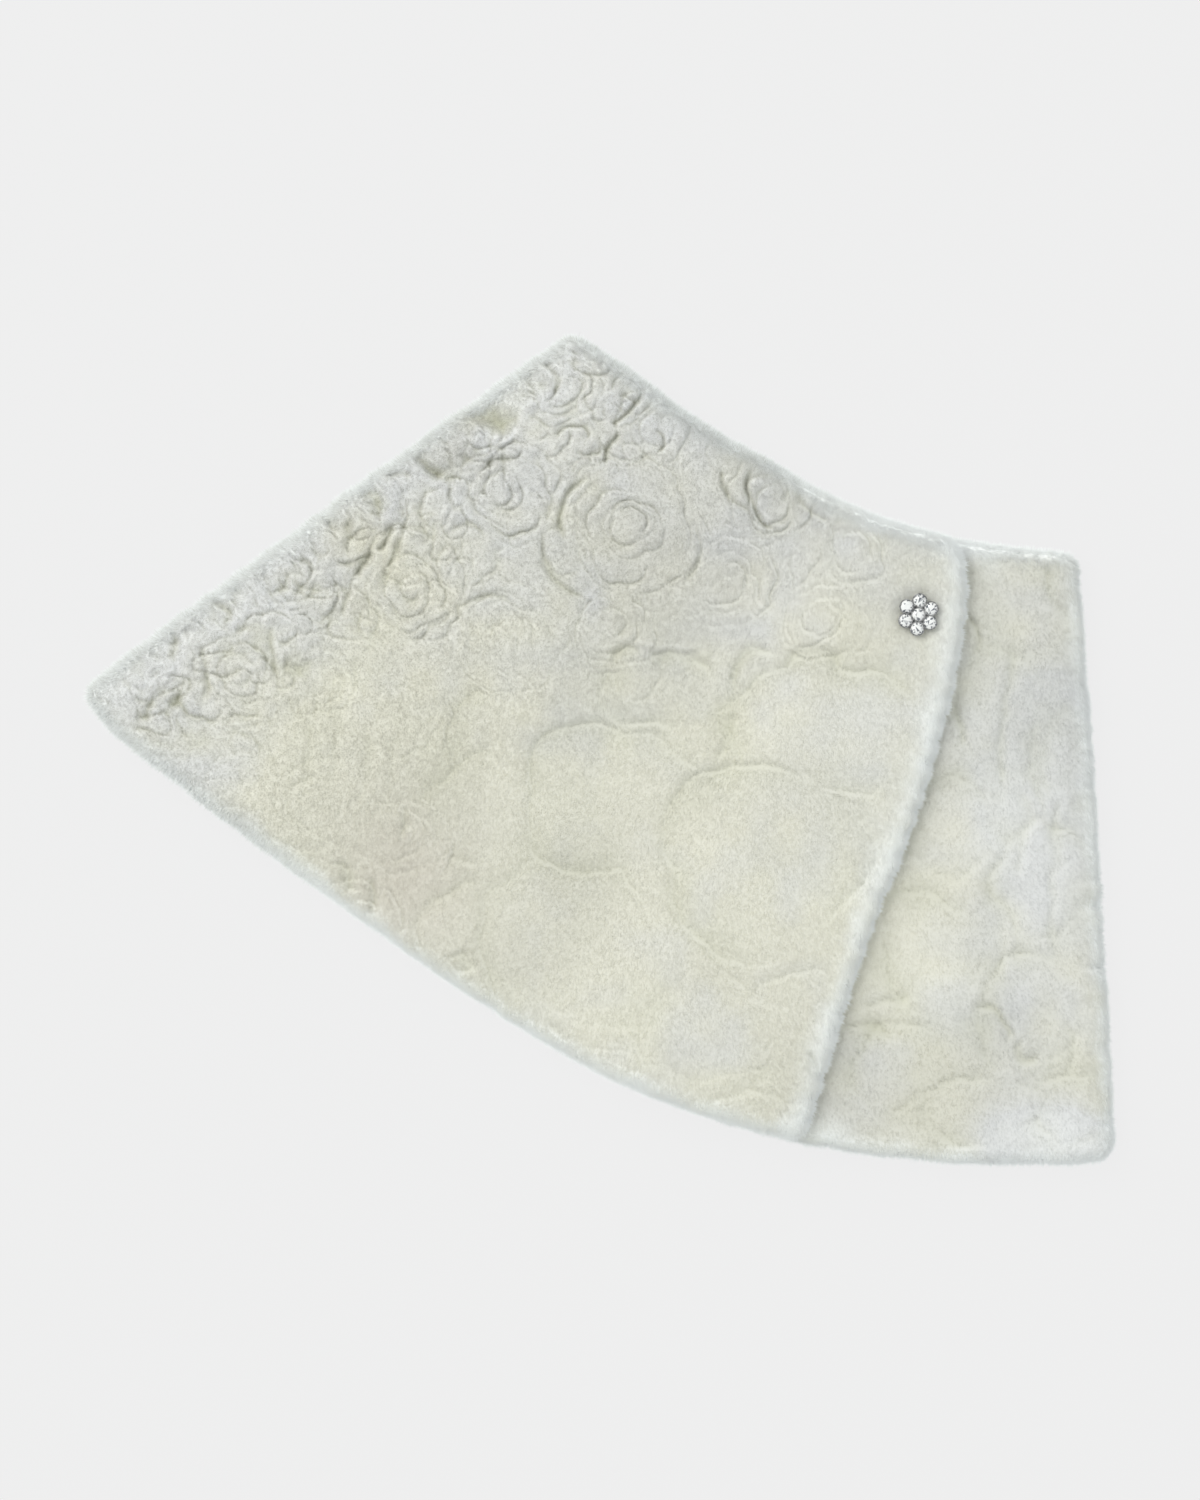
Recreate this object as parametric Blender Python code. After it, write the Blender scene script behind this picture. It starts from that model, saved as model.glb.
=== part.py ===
"""Capelet of ivory plush, embossed with roses, laid flat with its front up and its crystal button fastened.

Metres, +Z up. The origin is the middle of the garment's plan box, on the surface that it lies on.
+X is the garment's right side as seen from above and +Y its neck side. Tables are in millimetres and degrees.
A bearing is counted clockwise from +X about the apex, the point where the two folded sides would meet.
"""
import math
from collections import namedtuple

import bmesh
import bpy
from mathutils import Matrix, Vector
from mathutils.geometry import delaunay_2d_cdt

MM = 0.001
SEAM_GAP = 0.3 * MM

# Plan of the closed garment: one row for each section from the left fold to the right fold
Section = namedtuple("Section", "bearing neck hem")
SECTIONS = (
    Section(143.9, 270.5, 553.0),
    Section(141.0, 266.0, 551.0),
    Section(137.0, 260.5, 544.0),
    Section(132.0, 257.5, 538.0),
    Section(127.0, 255.7, 535.2),
    Section(120.0, 253.2, 536.5),
    Section(112.0, 255.3, 543.0),
    Section(104.0, 257.5, 545.5),
    Section(96.0, 258.5, 545.3),
    Section(86.5, 261.5, 543.5),
)
LEFT_FOLD = SECTIONS[0].bearing
RIGHT_FOLD = SECTIONS[-1].bearing

# Free edge of the upper front, from its neck corner down to the hem
EdgePoint = namedtuple("EdgePoint", "radius bearing")
FRONT_EDGE = (
    EdgePoint(255.0, 98.6),
    EdgePoint(272.0, 97.6),
    EdgePoint(295.0, 97.1),
    EdgePoint(335.0, 97.5),
    EdgePoint(398.0, 99.0),
    EdgePoint(450.0, 100.5),
    EdgePoint(545.0, 101.7),
)
HIDDEN_EDGE = 114.0  # bearing of the under front's own edge, under the upper front
FOLD_BOW = 1.2 * MM  # the folds and the hidden edge swell this far outwards in their middle

# Plush: knitted ground and pile together, as thick as the pile stands
BACK_PLY = 7.5 * MM
FRONT_PLY = 7.7 * MM
LAP_CLEARANCE = 1.0 * MM
LAP_RISE_BEFORE = 22.0 * MM
LAP_RISE_AFTER = 40.0 * MM

# Roundings: the two halves of a fold are quarter ellipses, and a cut edge is a soft bead of pile
FOLD_WIDTH = 14.0 * MM
EDGE_WIDTH = 5.0 * MM
RimRow = namedtuple("RimRow", "cut_inset fold_inset cut_share fold_share")
GROUND_RIM = RimRow(2.5, 0.0, 0.0, 0.0)
MIDDLE_RIM = RimRow(0.0, 1.2, 0.42, 0.405)
PILE_RIM = RimRow(1.6, 4.0, None, None)
SUPPORT_RIMS = (
    RimRow(5.6, 8.5, None, None),
    RimRow(9.0, 15.0, None, None),
)
SHORT_STEP = 11.0 * MM
CORNER_STEPS = 5
CORNER_ROUNDS = 6  # a corner's place is found by going round its two edges this many times

# Corner radii of each panel: neck left, neck right, hem right, hem left
BACK_CORNERS = (5.0, 6.0, 8.0, 8.0)
UPPER_CORNERS = (5.0, 11.0, 8.0, 8.0)
UNDER_CORNERS = (4.0, 6.0, 8.0, 4.0)

# Embossed roses, each a petal edge wound out from the bud with a groove outside it
Rose = namedtuple("Rose", "x y radius squeeze turn")
UPPER_ROSES = (
    Rose(-86, 76, 31, 0.92, 20),
    Rose(14, 103, 33, 1.00, 190),
    Rose(-46, 119, 27, 0.88, 80),
    Rose(-168, 35, 26, 0.80, 40),
    Rose(-141, 80, 25, 0.80, 35),
    Rose(57, 76, 26, 0.95, 260),
    Rose(-42, 50, 27, 0.92, 130),
    Rose(27, 147, 24, 0.95, 300),
    Rose(-17, 166, 21, 0.85, 100),
    Rose(-68, 149, 20, 0.75, 30),
    Rose(-105, 117, 22, 0.75, 35),
    Rose(80, 116, 22, 0.90, 150),
    Rose(118, 92, 20, 0.90, 60),
    Rose(-208, 26, 20, 0.80, 60),
    Rose(-128, 30, 25, 0.90, 10),
    Rose(-92, 14, 24, 0.95, 210),
    Rose(-172, -12, 23, 0.90, 330),
    Rose(-132, -24, 24, 0.95, 90),
    Rose(-90, -42, 22, 0.95, 160),
    Rose(-108, -74, 20, 0.95, 20),
    Rose(6, 56, 22, 0.90, 45),
    Rose(101, 60, 20, 0.90, 310),
)
PETAL_STEP = 6.9 * MM
PETAL_POINT_STEP = 8.0 * MM
GROOVE_LEAD = 0.40
GROOVE_DEPTH = 2.9 * MM
CREST_DIP = 0.9 * MM
PETALS_PER_TURN = 2.6
BUD_TURNS = 0.6
LEAST_POINTS_PER_TURN = 8

# Broad petals and puffs between soft grooves, where the emboss is larger
Puff = namedtuple("Puff", "x y width length turn lobes")
UPPER_PUFFS = (
    Puff(8, -21, 92, 76, 0, 3),
    Puff(78, -50, 84, 96, 10, 3),
    Puff(108, 8, 88, 62, -8, 2),
    Puff(-10, -90, 88, 78, -25, 3),
    Puff(-56, -28, 46, 52, 20, 2),
    Puff(-44, 10, 54, 40, 15, 3),
    Puff(32, 28, 60, 34, 5, 2),
    Puff(48, -124, 66, 52, -20, 3),
    Puff(90, -128, 46, 60, 10, 2),
    Puff(-62, -84, 42, 46, 30, 2),
    Puff(16, -152, 44, 30, -25, 2),
    Puff(74, -168, 48, 26, -10, 2),
)
UNDER_PUFFS = (
    Puff(204, -60, 36, 56, 0, 2),
    Puff(184, 22, 40, 52, -5, 3),
    Puff(188, 70, 44, 34, 0, 2),
    Puff(160, -34, 40, 50, 20, 2),
    Puff(152, -92, 48, 56, 15, 3),
    Puff(196, -120, 46, 50, -20, 3),
    Puff(136, -146, 42, 40, 30, 2),
    Puff(176, -164, 50, 34, 5, 2),
    Puff(216, -4, 24, 50, 0, 2),
    Puff(216, -164, 34, 36, 10, 2),
    Puff(168, 32, 22, 42, 10, 2),
)
PuffRow = namedtuple("PuffRow", "share depth")
PUFF_ROWS = (PuffRow(1.0, 2.6), PuffRow(0.82, 0.9), PuffRow(0.45, 0.2))
PUFF_POINT_STEP = 12.0 * MM
LEAST_PUFF_POINTS = 6
LOBE_SHARE = 0.09

FILLER_STEP = 15.0 * MM
FILLER_DIP = 0.8 * MM
POINT_CLEARANCE = 2.4 * MM
LEAST_WALL = 2.0 * MM
KEEP_INSIDE = 1  # the triangulation keeps what lies inside the border
MERGE_DISTANCE = 1e-7
RELIEF_FADE = 8.0 * MM  # the emboss runs out over this distance beside a side, neck or hem

# Button: seven round stones in cups, sewn down in a dimple of the pile
BUTTON_X = 145.9 * MM
BUTTON_Y = 62.0 * MM
BUTTON_TURN = math.radians(85.0)
RING_STONES = 6
RING_RADIUS = 6.44 * MM
CUP_RADIUS = 3.4 * MM
CUP_HEIGHT = 3.0 * MM
CUP_FLOOR = 1.0 * MM
CUP_SIDES = 20
STONE_GAP = 0.3 * MM
STONE_RADIUS = 2.75 * MM
STONE_TABLE = 0.55
STONE_CROWN = 1.1 * MM
STONE_GIRDLE = 0.3 * MM
STONE_FOOT = 0.5
STONE_DEPTH = 1.6 * MM
STONE_SIDES = 12
DIMPLE_RADIUS = 12.0 * MM
DIMPLE_RIM = 17.0 * MM
DIMPLE_DEPTH = 3.0 * MM
DIMPLE_RIM_DIP = 0.8 * MM
DIMPLE_POINTS = 12

Panel = namedtuple("Panel", "name left right fold_left fold_right corners")


def material(name, color, roughness, metallic=0.0):
    made = bpy.data.materials.new(name)
    made.use_nodes = True
    shader = made.node_tree.nodes["Principled BSDF"]
    shader.inputs["Base Color"].default_value = (*color, 1.0)
    shader.inputs["Roughness"].default_value = roughness
    shader.inputs["Metallic"].default_value = metallic
    return made


def add_object(name, shape, finish, sharp_angle=40.0):
    mesh = bpy.data.meshes.new(name)
    bmesh.ops.recalc_face_normals(shape, faces=shape.faces)
    shape.to_mesh(mesh)
    shape.free()
    mesh.materials.append(finish)
    mesh.shade_smooth()
    mesh.set_sharp_from_angle(angle=math.radians(sharp_angle))
    made = bpy.data.objects.new(name, mesh)
    bpy.context.collection.objects.link(made)
    return made


def through(knots, x):
    """Reads a smooth curve through the knots, pairs in rising order, at x."""
    count = len(knots)
    last = count - 2
    i = min(max(sum(1 for k in knots if k[0] <= x) - 1, 0), last)
    x0, y0 = knots[i]
    x1, y1 = knots[i + 1]
    before = knots[max(i - 1, 0)]
    after = knots[min(i + 2, count - 1)]
    slope0 = (y1 - before[1]) / (x1 - before[0])
    slope1 = (after[1] - y0) / (after[0] - x0)
    span = x1 - x0
    t = min(max((x - x0) / span, 0.0), 1.0)
    return (
        y0 * (2 * t**3 - 3 * t**2 + 1)
        + slope0 * span * (t**3 - 2 * t**2 + t)
        + y1 * (3 * t**2 - 2 * t**3)
        + slope1 * span * (t**3 - t**2)
    )


def degrees_along(length, radius):
    return math.degrees(length / radius)


NECK_KNOTS = [(s.bearing, s.neck * MM) for s in reversed(SECTIONS)]
HEM_KNOTS = [(s.bearing, s.hem * MM) for s in reversed(SECTIONS)]
FRONT_KNOTS = [(p.radius * MM, p.bearing) for p in FRONT_EDGE]


def neck_radius(bearing):
    return through(NECK_KNOTS, bearing)


def hem_radius(bearing):
    return through(HEM_KNOTS, bearing)


def bow(radius):
    """How far a folded or hidden side swells outwards at this radius, in degrees."""
    share = (radius - neck_radius(LEFT_FOLD)) / (hem_radius(LEFT_FOLD) - neck_radius(LEFT_FOLD))
    return degrees_along(FOLD_BOW * 4 * share * (1 - share), radius)


def left_fold(radius):
    return LEFT_FOLD + bow(radius)


def right_fold(radius):
    return RIGHT_FOLD - bow(radius)


def front_edge(radius):
    return through(FRONT_KNOTS, radius)


def hidden_edge(radius):
    return HIDDEN_EDGE + bow(radius)


def polar_point(bearing, radius):
    """Plan point from the apex."""
    angle = math.radians(bearing)
    return Vector((radius * math.cos(angle), -radius * math.sin(angle)))


def corner_place(panel, on_left, across, on_neck, down):
    """Bearing and radius of the point that lies these distances in from the two sides of a corner."""
    radius = neck_radius(LEFT_FOLD) if on_neck else hem_radius(LEFT_FOLD)
    for _ in range(CORNER_ROUNDS):
        if on_left:
            bearing = panel.left(radius) - degrees_along(across, radius)
        else:
            bearing = panel.right(radius) + degrees_along(across, radius)
        radius = neck_radius(bearing) + down if on_neck else hem_radius(bearing) - down
    return bearing, radius


def ring(panel, row):
    """One loop round a panel, pulled in by the row's insets, as plan points with their share of fold, 0 to 1."""
    left_inset = (row.fold_inset if panel.fold_left else row.cut_inset) * MM
    right_inset = (row.fold_inset if panel.fold_right else row.cut_inset) * MM
    cut_inset = row.cut_inset * MM
    neck_left, neck_right, hem_right, hem_left = (corner * MM for corner in panel.corners)
    points = []

    neck = neck_radius(HIDDEN_EDGE)
    hem = hem_radius(HIDDEN_EDGE)
    span = math.radians(panel.left(neck) - panel.right(neck))
    neck_steps = round(span * neck / SHORT_STEP)
    hem_steps = round(span * hem / SHORT_STEP)
    side_steps = round((hem - neck) / SHORT_STEP)

    def arc(on_left, on_neck, side_inset, radius, is_fold, leaves_side):
        """Rounds a corner, and gives the bearing and radius of its two ends."""
        places = []
        for step in range(CORNER_STEPS + 1):
            turn = math.radians(90.0 * step / CORNER_STEPS)
            lead = math.cos(turn) if leaves_side else math.sin(turn)
            trail = math.sin(turn) if leaves_side else math.cos(turn)
            across = side_inset + radius * (1 - lead)
            down = cut_inset + radius * (1 - trail)
            places.append((corner_place(panel, on_left, across, on_neck, down), lead**2 if is_fold else 0.0))
        return places

    def along_side(edge, sign, side_inset, start, end, is_fold):
        places = []
        for step in range(1, side_steps):
            radius = start + (end - start) * step / side_steps
            bearing = edge(radius) + sign * degrees_along(side_inset, radius)
            places.append(((bearing, radius), 1.0 if is_fold else 0.0))
        return places

    def along_cut(reach, inset, start, end, steps):
        places = []
        for step in range(1, steps):
            bearing = start + (end - start) * step / steps
            places.append(((bearing, reach(bearing) + inset), 0.0))
        return places

    first = arc(True, True, left_inset, neck_left, panel.fold_left, True)
    second = arc(False, True, right_inset, neck_right, panel.fold_right, False)
    third = arc(False, False, right_inset, hem_right, panel.fold_right, True)
    fourth = arc(True, False, left_inset, hem_left, panel.fold_left, False)
    (neck_start, _), (neck_end, _) = first[-1][0], second[0][0]
    (hem_start, _), (hem_end, _) = third[-1][0], fourth[0][0]
    points += first
    points += along_cut(neck_radius, cut_inset, neck_start, neck_end, neck_steps)
    points += second
    points += along_side(panel.right, 1, right_inset, second[-1][0][1], third[0][0][1], panel.fold_right)
    points += third
    points += along_cut(hem_radius, -cut_inset, hem_start, hem_end, hem_steps)
    points += fourth
    points += along_side(panel.left, -1, left_inset, fourth[-1][0][1], first[0][0][1], panel.fold_left)
    return [(polar_point(bearing, radius), fold) for (bearing, radius), fold in points]


def dome(distance, width):
    """Share of the full pile height at this distance in from an edge, a quarter ellipse."""
    t = 1.0 - min(max(distance / width, 0.0), 1.0)
    return math.sqrt(1.0 - t * t)


def bearing_and_radius(point):
    return math.degrees(math.atan2(-point.y, point.x)), point.length


def side_distances(panel, point):
    """Distances in from the left side, the right side, the neck and the hem."""
    bearing, radius = bearing_and_radius(point)
    return (
        math.radians(panel.left(radius) - bearing) * radius,
        math.radians(bearing - panel.right(radius)) * radius,
        radius - neck_radius(bearing),
        hem_radius(bearing) - radius,
    )


def pile_share(panel, point):
    left, right, neck, hem = side_distances(panel, point)
    return (
        dome(left, FOLD_WIDTH if panel.fold_left else EDGE_WIDTH)
        * dome(right, FOLD_WIDTH if panel.fold_right else EDGE_WIDTH)
        * dome(neck, EDGE_WIDTH)
        * dome(hem, EDGE_WIDTH)
    )


def lap_lift(point):
    """How far the upper front is lifted by the under front's lap beneath it."""
    bearing, radius = bearing_and_radius(point)
    beyond = radius * math.sin(math.radians(HIDDEN_EDGE - bearing))
    t = min(max((beyond + LAP_RISE_BEFORE) / (LAP_RISE_BEFORE + LAP_RISE_AFTER), 0.0), 1.0)
    return (FRONT_PLY + LAP_CLEARANCE) * t * t * (3 - 2 * t)


def plan_centre():
    """Middle of the plan box of the whole garment, from the apex."""
    whole = Panel("whole", left_fold, right_fold, True, True, BACK_CORNERS)
    corners = [point for point, _ in ring(whole, RimRow(0.0, 0.0, 0.0, 0.0))]
    xs = [p.x for p in corners]
    ys = [p.y for p in corners]
    return Vector(((min(xs) + max(xs)) / 2, (min(ys) + max(ys)) / 2))


APEX = -plan_centre()


def rose_points(rose):
    """Points of one rose: crest and groove of its wound petal edge, with how deep each lies."""
    windings = rose.radius * MM / PETAL_STEP
    turn = math.radians(rose.turn)
    found = [(0.0, 0.0, CREST_DIP)]
    t = BUD_TURNS
    while t < windings:
        angle = t * math.tau
        crest = CREST_DIP * (1 + math.cos(PETALS_PER_TURN * angle)) / 2
        for lead, depth in ((0.0, crest), (GROOVE_LEAD, GROOVE_DEPTH)):
            reach = (t + lead) * PETAL_STEP
            found.append((reach * math.cos(angle) * rose.squeeze, reach * math.sin(angle), depth))
        t += min(PETAL_POINT_STEP / (math.tau * t * PETAL_STEP), 1 / LEAST_POINTS_PER_TURN)
    return [
        (
            rose.x * MM + x * math.cos(turn) - y * math.sin(turn),
            rose.y * MM + x * math.sin(turn) + y * math.cos(turn),
            depth,
        )
        for x, y, depth in found
    ]


def puff_points(puff):
    """Points of one broad petal: its groove, its shoulder and its crown, with how deep each lies."""
    turn = math.radians(puff.turn)
    found = [(puff.x * MM, puff.y * MM, 0.0)]
    for row in PUFF_ROWS:
        half_width = puff.width * MM / 2 * row.share
        half_length = puff.length * MM / 2 * row.share
        count = max(LEAST_PUFF_POINTS, round(math.pi * (half_width + half_length) / PUFF_POINT_STEP))
        for step in range(count):
            angle = math.tau * step / count
            lobe = 1 + LOBE_SHARE * math.cos(puff.lobes * angle)
            x = half_width * lobe * math.cos(angle)
            y = half_length * lobe * math.sin(angle)
            found.append((
                puff.x * MM + x * math.cos(turn) - y * math.sin(turn),
                puff.y * MM + x * math.sin(turn) + y * math.cos(turn),
                row.depth * MM,
            ))
    return found


def dimple_points():
    """Points of the pressed-down pile under the button."""
    found = [(BUTTON_X, BUTTON_Y, DIMPLE_DEPTH)]
    for radius, depth in ((DIMPLE_RADIUS, DIMPLE_DEPTH), (DIMPLE_RIM, DIMPLE_RIM_DIP)):
        for step in range(DIMPLE_POINTS):
            angle = math.tau * step / DIMPLE_POINTS
            found.append((BUTTON_X + radius * math.cos(angle), BUTTON_Y + radius * math.sin(angle), depth))
    return found


def covers(form, x, y):
    """Whether a rose or puff covers this place, so that what lies under it is left out."""
    turn = math.radians(form.turn)
    dx = x - form.x * MM
    dy = y - form.y * MM
    across = dx * math.cos(turn) + dy * math.sin(turn)
    along = -dx * math.sin(turn) + dy * math.cos(turn)
    if isinstance(form, Rose):
        half_width = form.radius * form.squeeze * MM
        half_length = form.radius * MM
    else:
        half_width = form.width * MM / 2
        half_length = form.length * MM / 2
    return (across / half_width) ** 2 + (along / half_length) ** 2 < 1.0


def in_dimple(x, y):
    return math.hypot(x - BUTTON_X, y - BUTTON_Y) < DIMPLE_RIM


def emboss(roses, puffs, with_dimple):
    """All relief points of a panel; a form later in the tables lies under the earlier ones."""
    found = dimple_points() if with_dimple else []
    laid = []
    for form in (*roses, *puffs):
        points = rose_points(form) if isinstance(form, Rose) else puff_points(form)
        for x, y, depth in points:
            hidden = any(covers(other, x, y) for other in laid)
            if not hidden and not (with_dimple and in_dimple(x, y)):
                found.append((x, y, depth))
        laid.append(form)
    return found, laid


def filler(laid, with_dimple):
    """Small tufts between the forms, on a staggered lattice."""
    found = []
    reach = hem_radius(HIDDEN_EDGE) - neck_radius(HIDDEN_EDGE)
    rows = round(2 * reach / FILLER_STEP)
    columns = rows
    for i in range(-rows // 2, rows // 2 + 1):
        for j in range(-columns // 2, columns // 2 + 1):
            x = (j + 0.5 * (i % 2)) * FILLER_STEP
            y = i * FILLER_STEP * math.sqrt(3) / 2
            if any(covers(form, x, y) for form in laid) or (with_dimple and in_dimple(x, y)):
                continue
            found.append((x, y, FILLER_DIP))
    return found


class Cloth:
    """One plush panel: a plain ground side, an embossed pile side and a rounded rim between them."""

    def __init__(self, panel, ground_height, thickness, outward):
        self.panel = panel
        self.ground_height = ground_height
        self.thickness = thickness
        self.outward = outward
        self.shape = bmesh.new()

    def put(self, plan, share, depth=0.0):
        """A vertex over a plan point from the apex, at a share of the pile's height."""
        thickness = self.thickness(plan)
        height = max(thickness * share - depth, min(thickness * share, LEAST_WALL))
        place = plan + APEX
        return self.shape.verts.new((place.x, place.y, self.ground_height(plan) + self.outward * height))

    def loop(self, row):
        made = []
        for plan, fold in ring(self.panel, row):
            if row.cut_share is None:
                share = pile_share(self.panel, plan)
            else:
                share = row.cut_share * (1 - fold) + row.fold_share * fold
            made.append(self.put(plan, share))
        return made

    def band(self, lower, upper):
        for i in range(len(lower)):
            j = (i + 1) % len(lower)
            self.shape.faces.new((lower[i], lower[j], upper[j], upper[i]))

    def cap(self, border, inner):
        """Fills a border loop, through the inner vertices."""
        verts = [*border, *inner]
        flat = [Vector((v.co.x, v.co.y)) for v in verts]
        _, _, triangles, sources, _, _ = delaunay_2d_cdt(
            flat, [], [list(range(len(border)))], KEEP_INSIDE, MERGE_DISTANCE
        )
        for triangle in triangles:
            self.shape.faces.new([verts[sources[i][0]] for i in triangle])

    def inner_vertices(self, places, border_row, on_ground=False):
        """Vertices inside the border row, none closer to another than the point clearance."""
        border = [plan for plan, _ in ring(self.panel, border_row)]
        kept = []
        for x, y, depth in places:
            plan = Vector((x, y)) - APEX
            sides = side_distances(self.panel, plan)
            insets = (
                border_row.fold_inset if self.panel.fold_left else border_row.cut_inset,
                border_row.fold_inset if self.panel.fold_right else border_row.cut_inset,
                border_row.cut_inset,
                border_row.cut_inset,
            )
            if any(s < i * MM + POINT_CLEARANCE for s, i in zip(sides, insets)):
                continue
            if any((plan - other).length < POINT_CLEARANCE for other in (*border, *(k for k, _ in kept))):
                continue
            kept.append((plan, depth * min(1.0, min(sides) / RELIEF_FADE)))
        if on_ground:
            return [self.put(plan, 0.0) for plan, _ in kept]
        return [self.put(plan, pile_share(self.panel, plan), depth) for plan, depth in kept]

    def close(self, relief, ground_points, finish, with_dimple=False):
        ground = self.loop(GROUND_RIM)
        middle = self.loop(MIDDLE_RIM)
        pile = self.loop(PILE_RIM)
        self.band(ground, middle)
        self.band(middle, pile)
        support = []
        for row in SUPPORT_RIMS:
            for plan, _ in ring(self.panel, row):
                place = plan + APEX
                if not (with_dimple and in_dimple(place.x, place.y)):
                    support.append((place.x, place.y, 0.0))
        self.cap(pile, self.inner_vertices([*relief, *support], PILE_RIM))
        self.cap(ground, self.inner_vertices(ground_points, GROUND_RIM, on_ground=True))
        return add_object(self.panel.name, self.shape, finish)


def lap_points():
    """Support points where the upper front climbs over the lap, in rows beside the hidden edge."""
    found = []
    across = -LAP_RISE_BEFORE
    while across <= LAP_RISE_AFTER + SHORT_STEP / 2:
        radius = neck_radius(HIDDEN_EDGE) + SHORT_STEP / 2
        while radius < hem_radius(HIDDEN_EDGE):
            plan = polar_point(HIDDEN_EDGE - degrees_along(across, radius), radius)
            place = plan + APEX
            found.append((place.x, place.y, 0.0))
            radius += 2 * SHORT_STEP
        across += SHORT_STEP
    return found


def back(plush):
    """The whole back, pile side down, flat where it rests and rounded up at both folds."""
    panel = Panel("back", left_fold, right_fold, True, True, BACK_CORNERS)
    cloth = Cloth(panel, lambda plan: BACK_PLY, lambda plan: BACK_PLY, -1)
    return cloth.close([], [], plush)


def under_front(plush):
    """The wearer's buttonhole side: folded at the right, its own edge hidden and pressed thin under the lap."""
    panel = Panel("under_front", hidden_edge, right_fold, False, True, UNDER_CORNERS)
    ground = BACK_PLY + SEAM_GAP
    cloth = Cloth(panel, lambda plan: ground, lambda plan: lap_lift(plan) - LAP_CLEARANCE, 1)
    relief, laid = emboss((), UNDER_PUFFS, False)
    lap_side = [p for p in filler(laid, False) if not hidden_by_lap(p)]
    return cloth.close([*relief, *lap_side, *lap_points()], [], plush)


def hidden_by_lap(place):
    """Whether the upper front lies over this place."""
    bearing, radius = bearing_and_radius(Vector(place[:2]) - APEX)
    return bearing > front_edge(radius)


def upper_front(plush):
    """The side on top, folded at the left, climbing over the lap and ending in its free front edge."""
    panel = Panel("upper_front", left_fold, front_edge, True, False, UPPER_CORNERS)
    ground = BACK_PLY + SEAM_GAP
    cloth = Cloth(panel, lambda plan: ground + lap_lift(plan), lambda plan: FRONT_PLY, 1)
    relief, laid = emboss(UPPER_ROSES, UPPER_PUFFS, True)
    return cloth.close([*relief, *filler(laid, True)], lap_points(), plush, with_dimple=True)


def stone_places():
    """The middle stone and the six round it."""
    places = [Vector((BUTTON_X, BUTTON_Y))]
    for step in range(RING_STONES):
        angle = BUTTON_TURN + step * math.tau / RING_STONES
        places.append(places[0] + RING_RADIUS * Vector((math.cos(angle), math.sin(angle))))
    return places


def button_base_height():
    plan = Vector((BUTTON_X, BUTTON_Y)) - APEX
    pile_top = BACK_PLY + SEAM_GAP + lap_lift(plan) + FRONT_PLY
    return pile_top - DIMPLE_DEPTH + SEAM_GAP


def disc(radius, height, sides):
    shape = bmesh.new()
    bmesh.ops.create_cone(
        shape, cap_ends=True, segments=sides, radius1=radius, radius2=radius, depth=height
    )
    return shape


def guide_cylinder(name, radius, height, place, base):
    """A cylinder that only a Boolean reads."""
    shape = disc(radius, height, CUP_SIDES)
    bmesh.ops.translate(shape, vec=(place.x, place.y, base + height / 2), verts=shape.verts)
    mesh = bpy.data.meshes.new(name)
    shape.to_mesh(mesh)
    shape.free()
    made = bpy.data.objects.new(name, mesh)
    made.hide_render = True
    made.display_type = "WIRE"
    bpy.context.collection.objects.link(made)
    return made


def join_by_boolean(target, other, operation):
    step = target.modifiers.new(other.name, "BOOLEAN")
    step.operation = operation
    step.object = other
    step.solver = "EXACT"


def button_setting(silver):
    """Seven cast cups joined in a flower."""
    base = button_base_height()
    places = stone_places()
    shape = disc(CUP_RADIUS, CUP_HEIGHT, CUP_SIDES)
    bmesh.ops.translate(shape, vec=(places[0].x, places[0].y, base + CUP_HEIGHT / 2), verts=shape.verts)
    setting = add_object("button_setting", shape, silver)
    for i, place in enumerate(places[1:]):
        cup = guide_cylinder(f"cup_{i}", CUP_RADIUS, CUP_HEIGHT, place, base)
        join_by_boolean(setting, cup, "UNION")
    for i, place in enumerate(places):
        pocket = guide_cylinder(
            f"pocket_{i}", STONE_RADIUS + STONE_GAP, CUP_HEIGHT, place, base + CUP_FLOOR
        )
        join_by_boolean(setting, pocket, "DIFFERENCE")
    return setting


def stones(crystal):
    """Cut stones: a flat table, a bevelled crown, a narrow girdle and a pavilion that stands in the cup."""
    base = button_base_height() + CUP_FLOOR + STONE_GAP
    rows = (
        (STONE_RADIUS * STONE_FOOT, 0.0),
        (STONE_RADIUS, STONE_DEPTH),
        (STONE_RADIUS, STONE_DEPTH + STONE_GIRDLE),
        (STONE_RADIUS * STONE_TABLE, STONE_DEPTH + STONE_GIRDLE + STONE_CROWN),
    )
    for number, place in enumerate(stone_places()):
        shape = bmesh.new()
        loops = []
        for radius, height in rows:
            spot = Matrix.Translation((place.x, place.y, base + height))
            made = bmesh.ops.create_circle(shape, segments=STONE_SIDES, radius=radius, matrix=spot)
            loops.append(list({edge for vert in made["verts"] for edge in vert.link_edges}))
        for lower, upper in zip(loops, loops[1:]):
            bmesh.ops.bridge_loops(shape, edges=[*lower, *upper])
        bmesh.ops.contextual_create(shape, geom=loops[0])
        bmesh.ops.contextual_create(shape, geom=loops[-1])
        add_object(f"stone_{number}", shape, crystal, sharp_angle=10.0)


def build():
    for old in list(bpy.data.objects):
        bpy.data.objects.remove(old)
    plush = material("ivory_plush", (0.80, 0.81, 0.74), 0.95)
    silver = material("dark_silver", (0.45, 0.45, 0.46), 0.30, 1.0)
    crystal = material("crystal", (0.93, 0.94, 0.95), 0.05)
    back(plush)
    under_front(plush)
    upper_front(plush)
    button_setting(silver)
    stones(crystal)


build()
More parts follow.
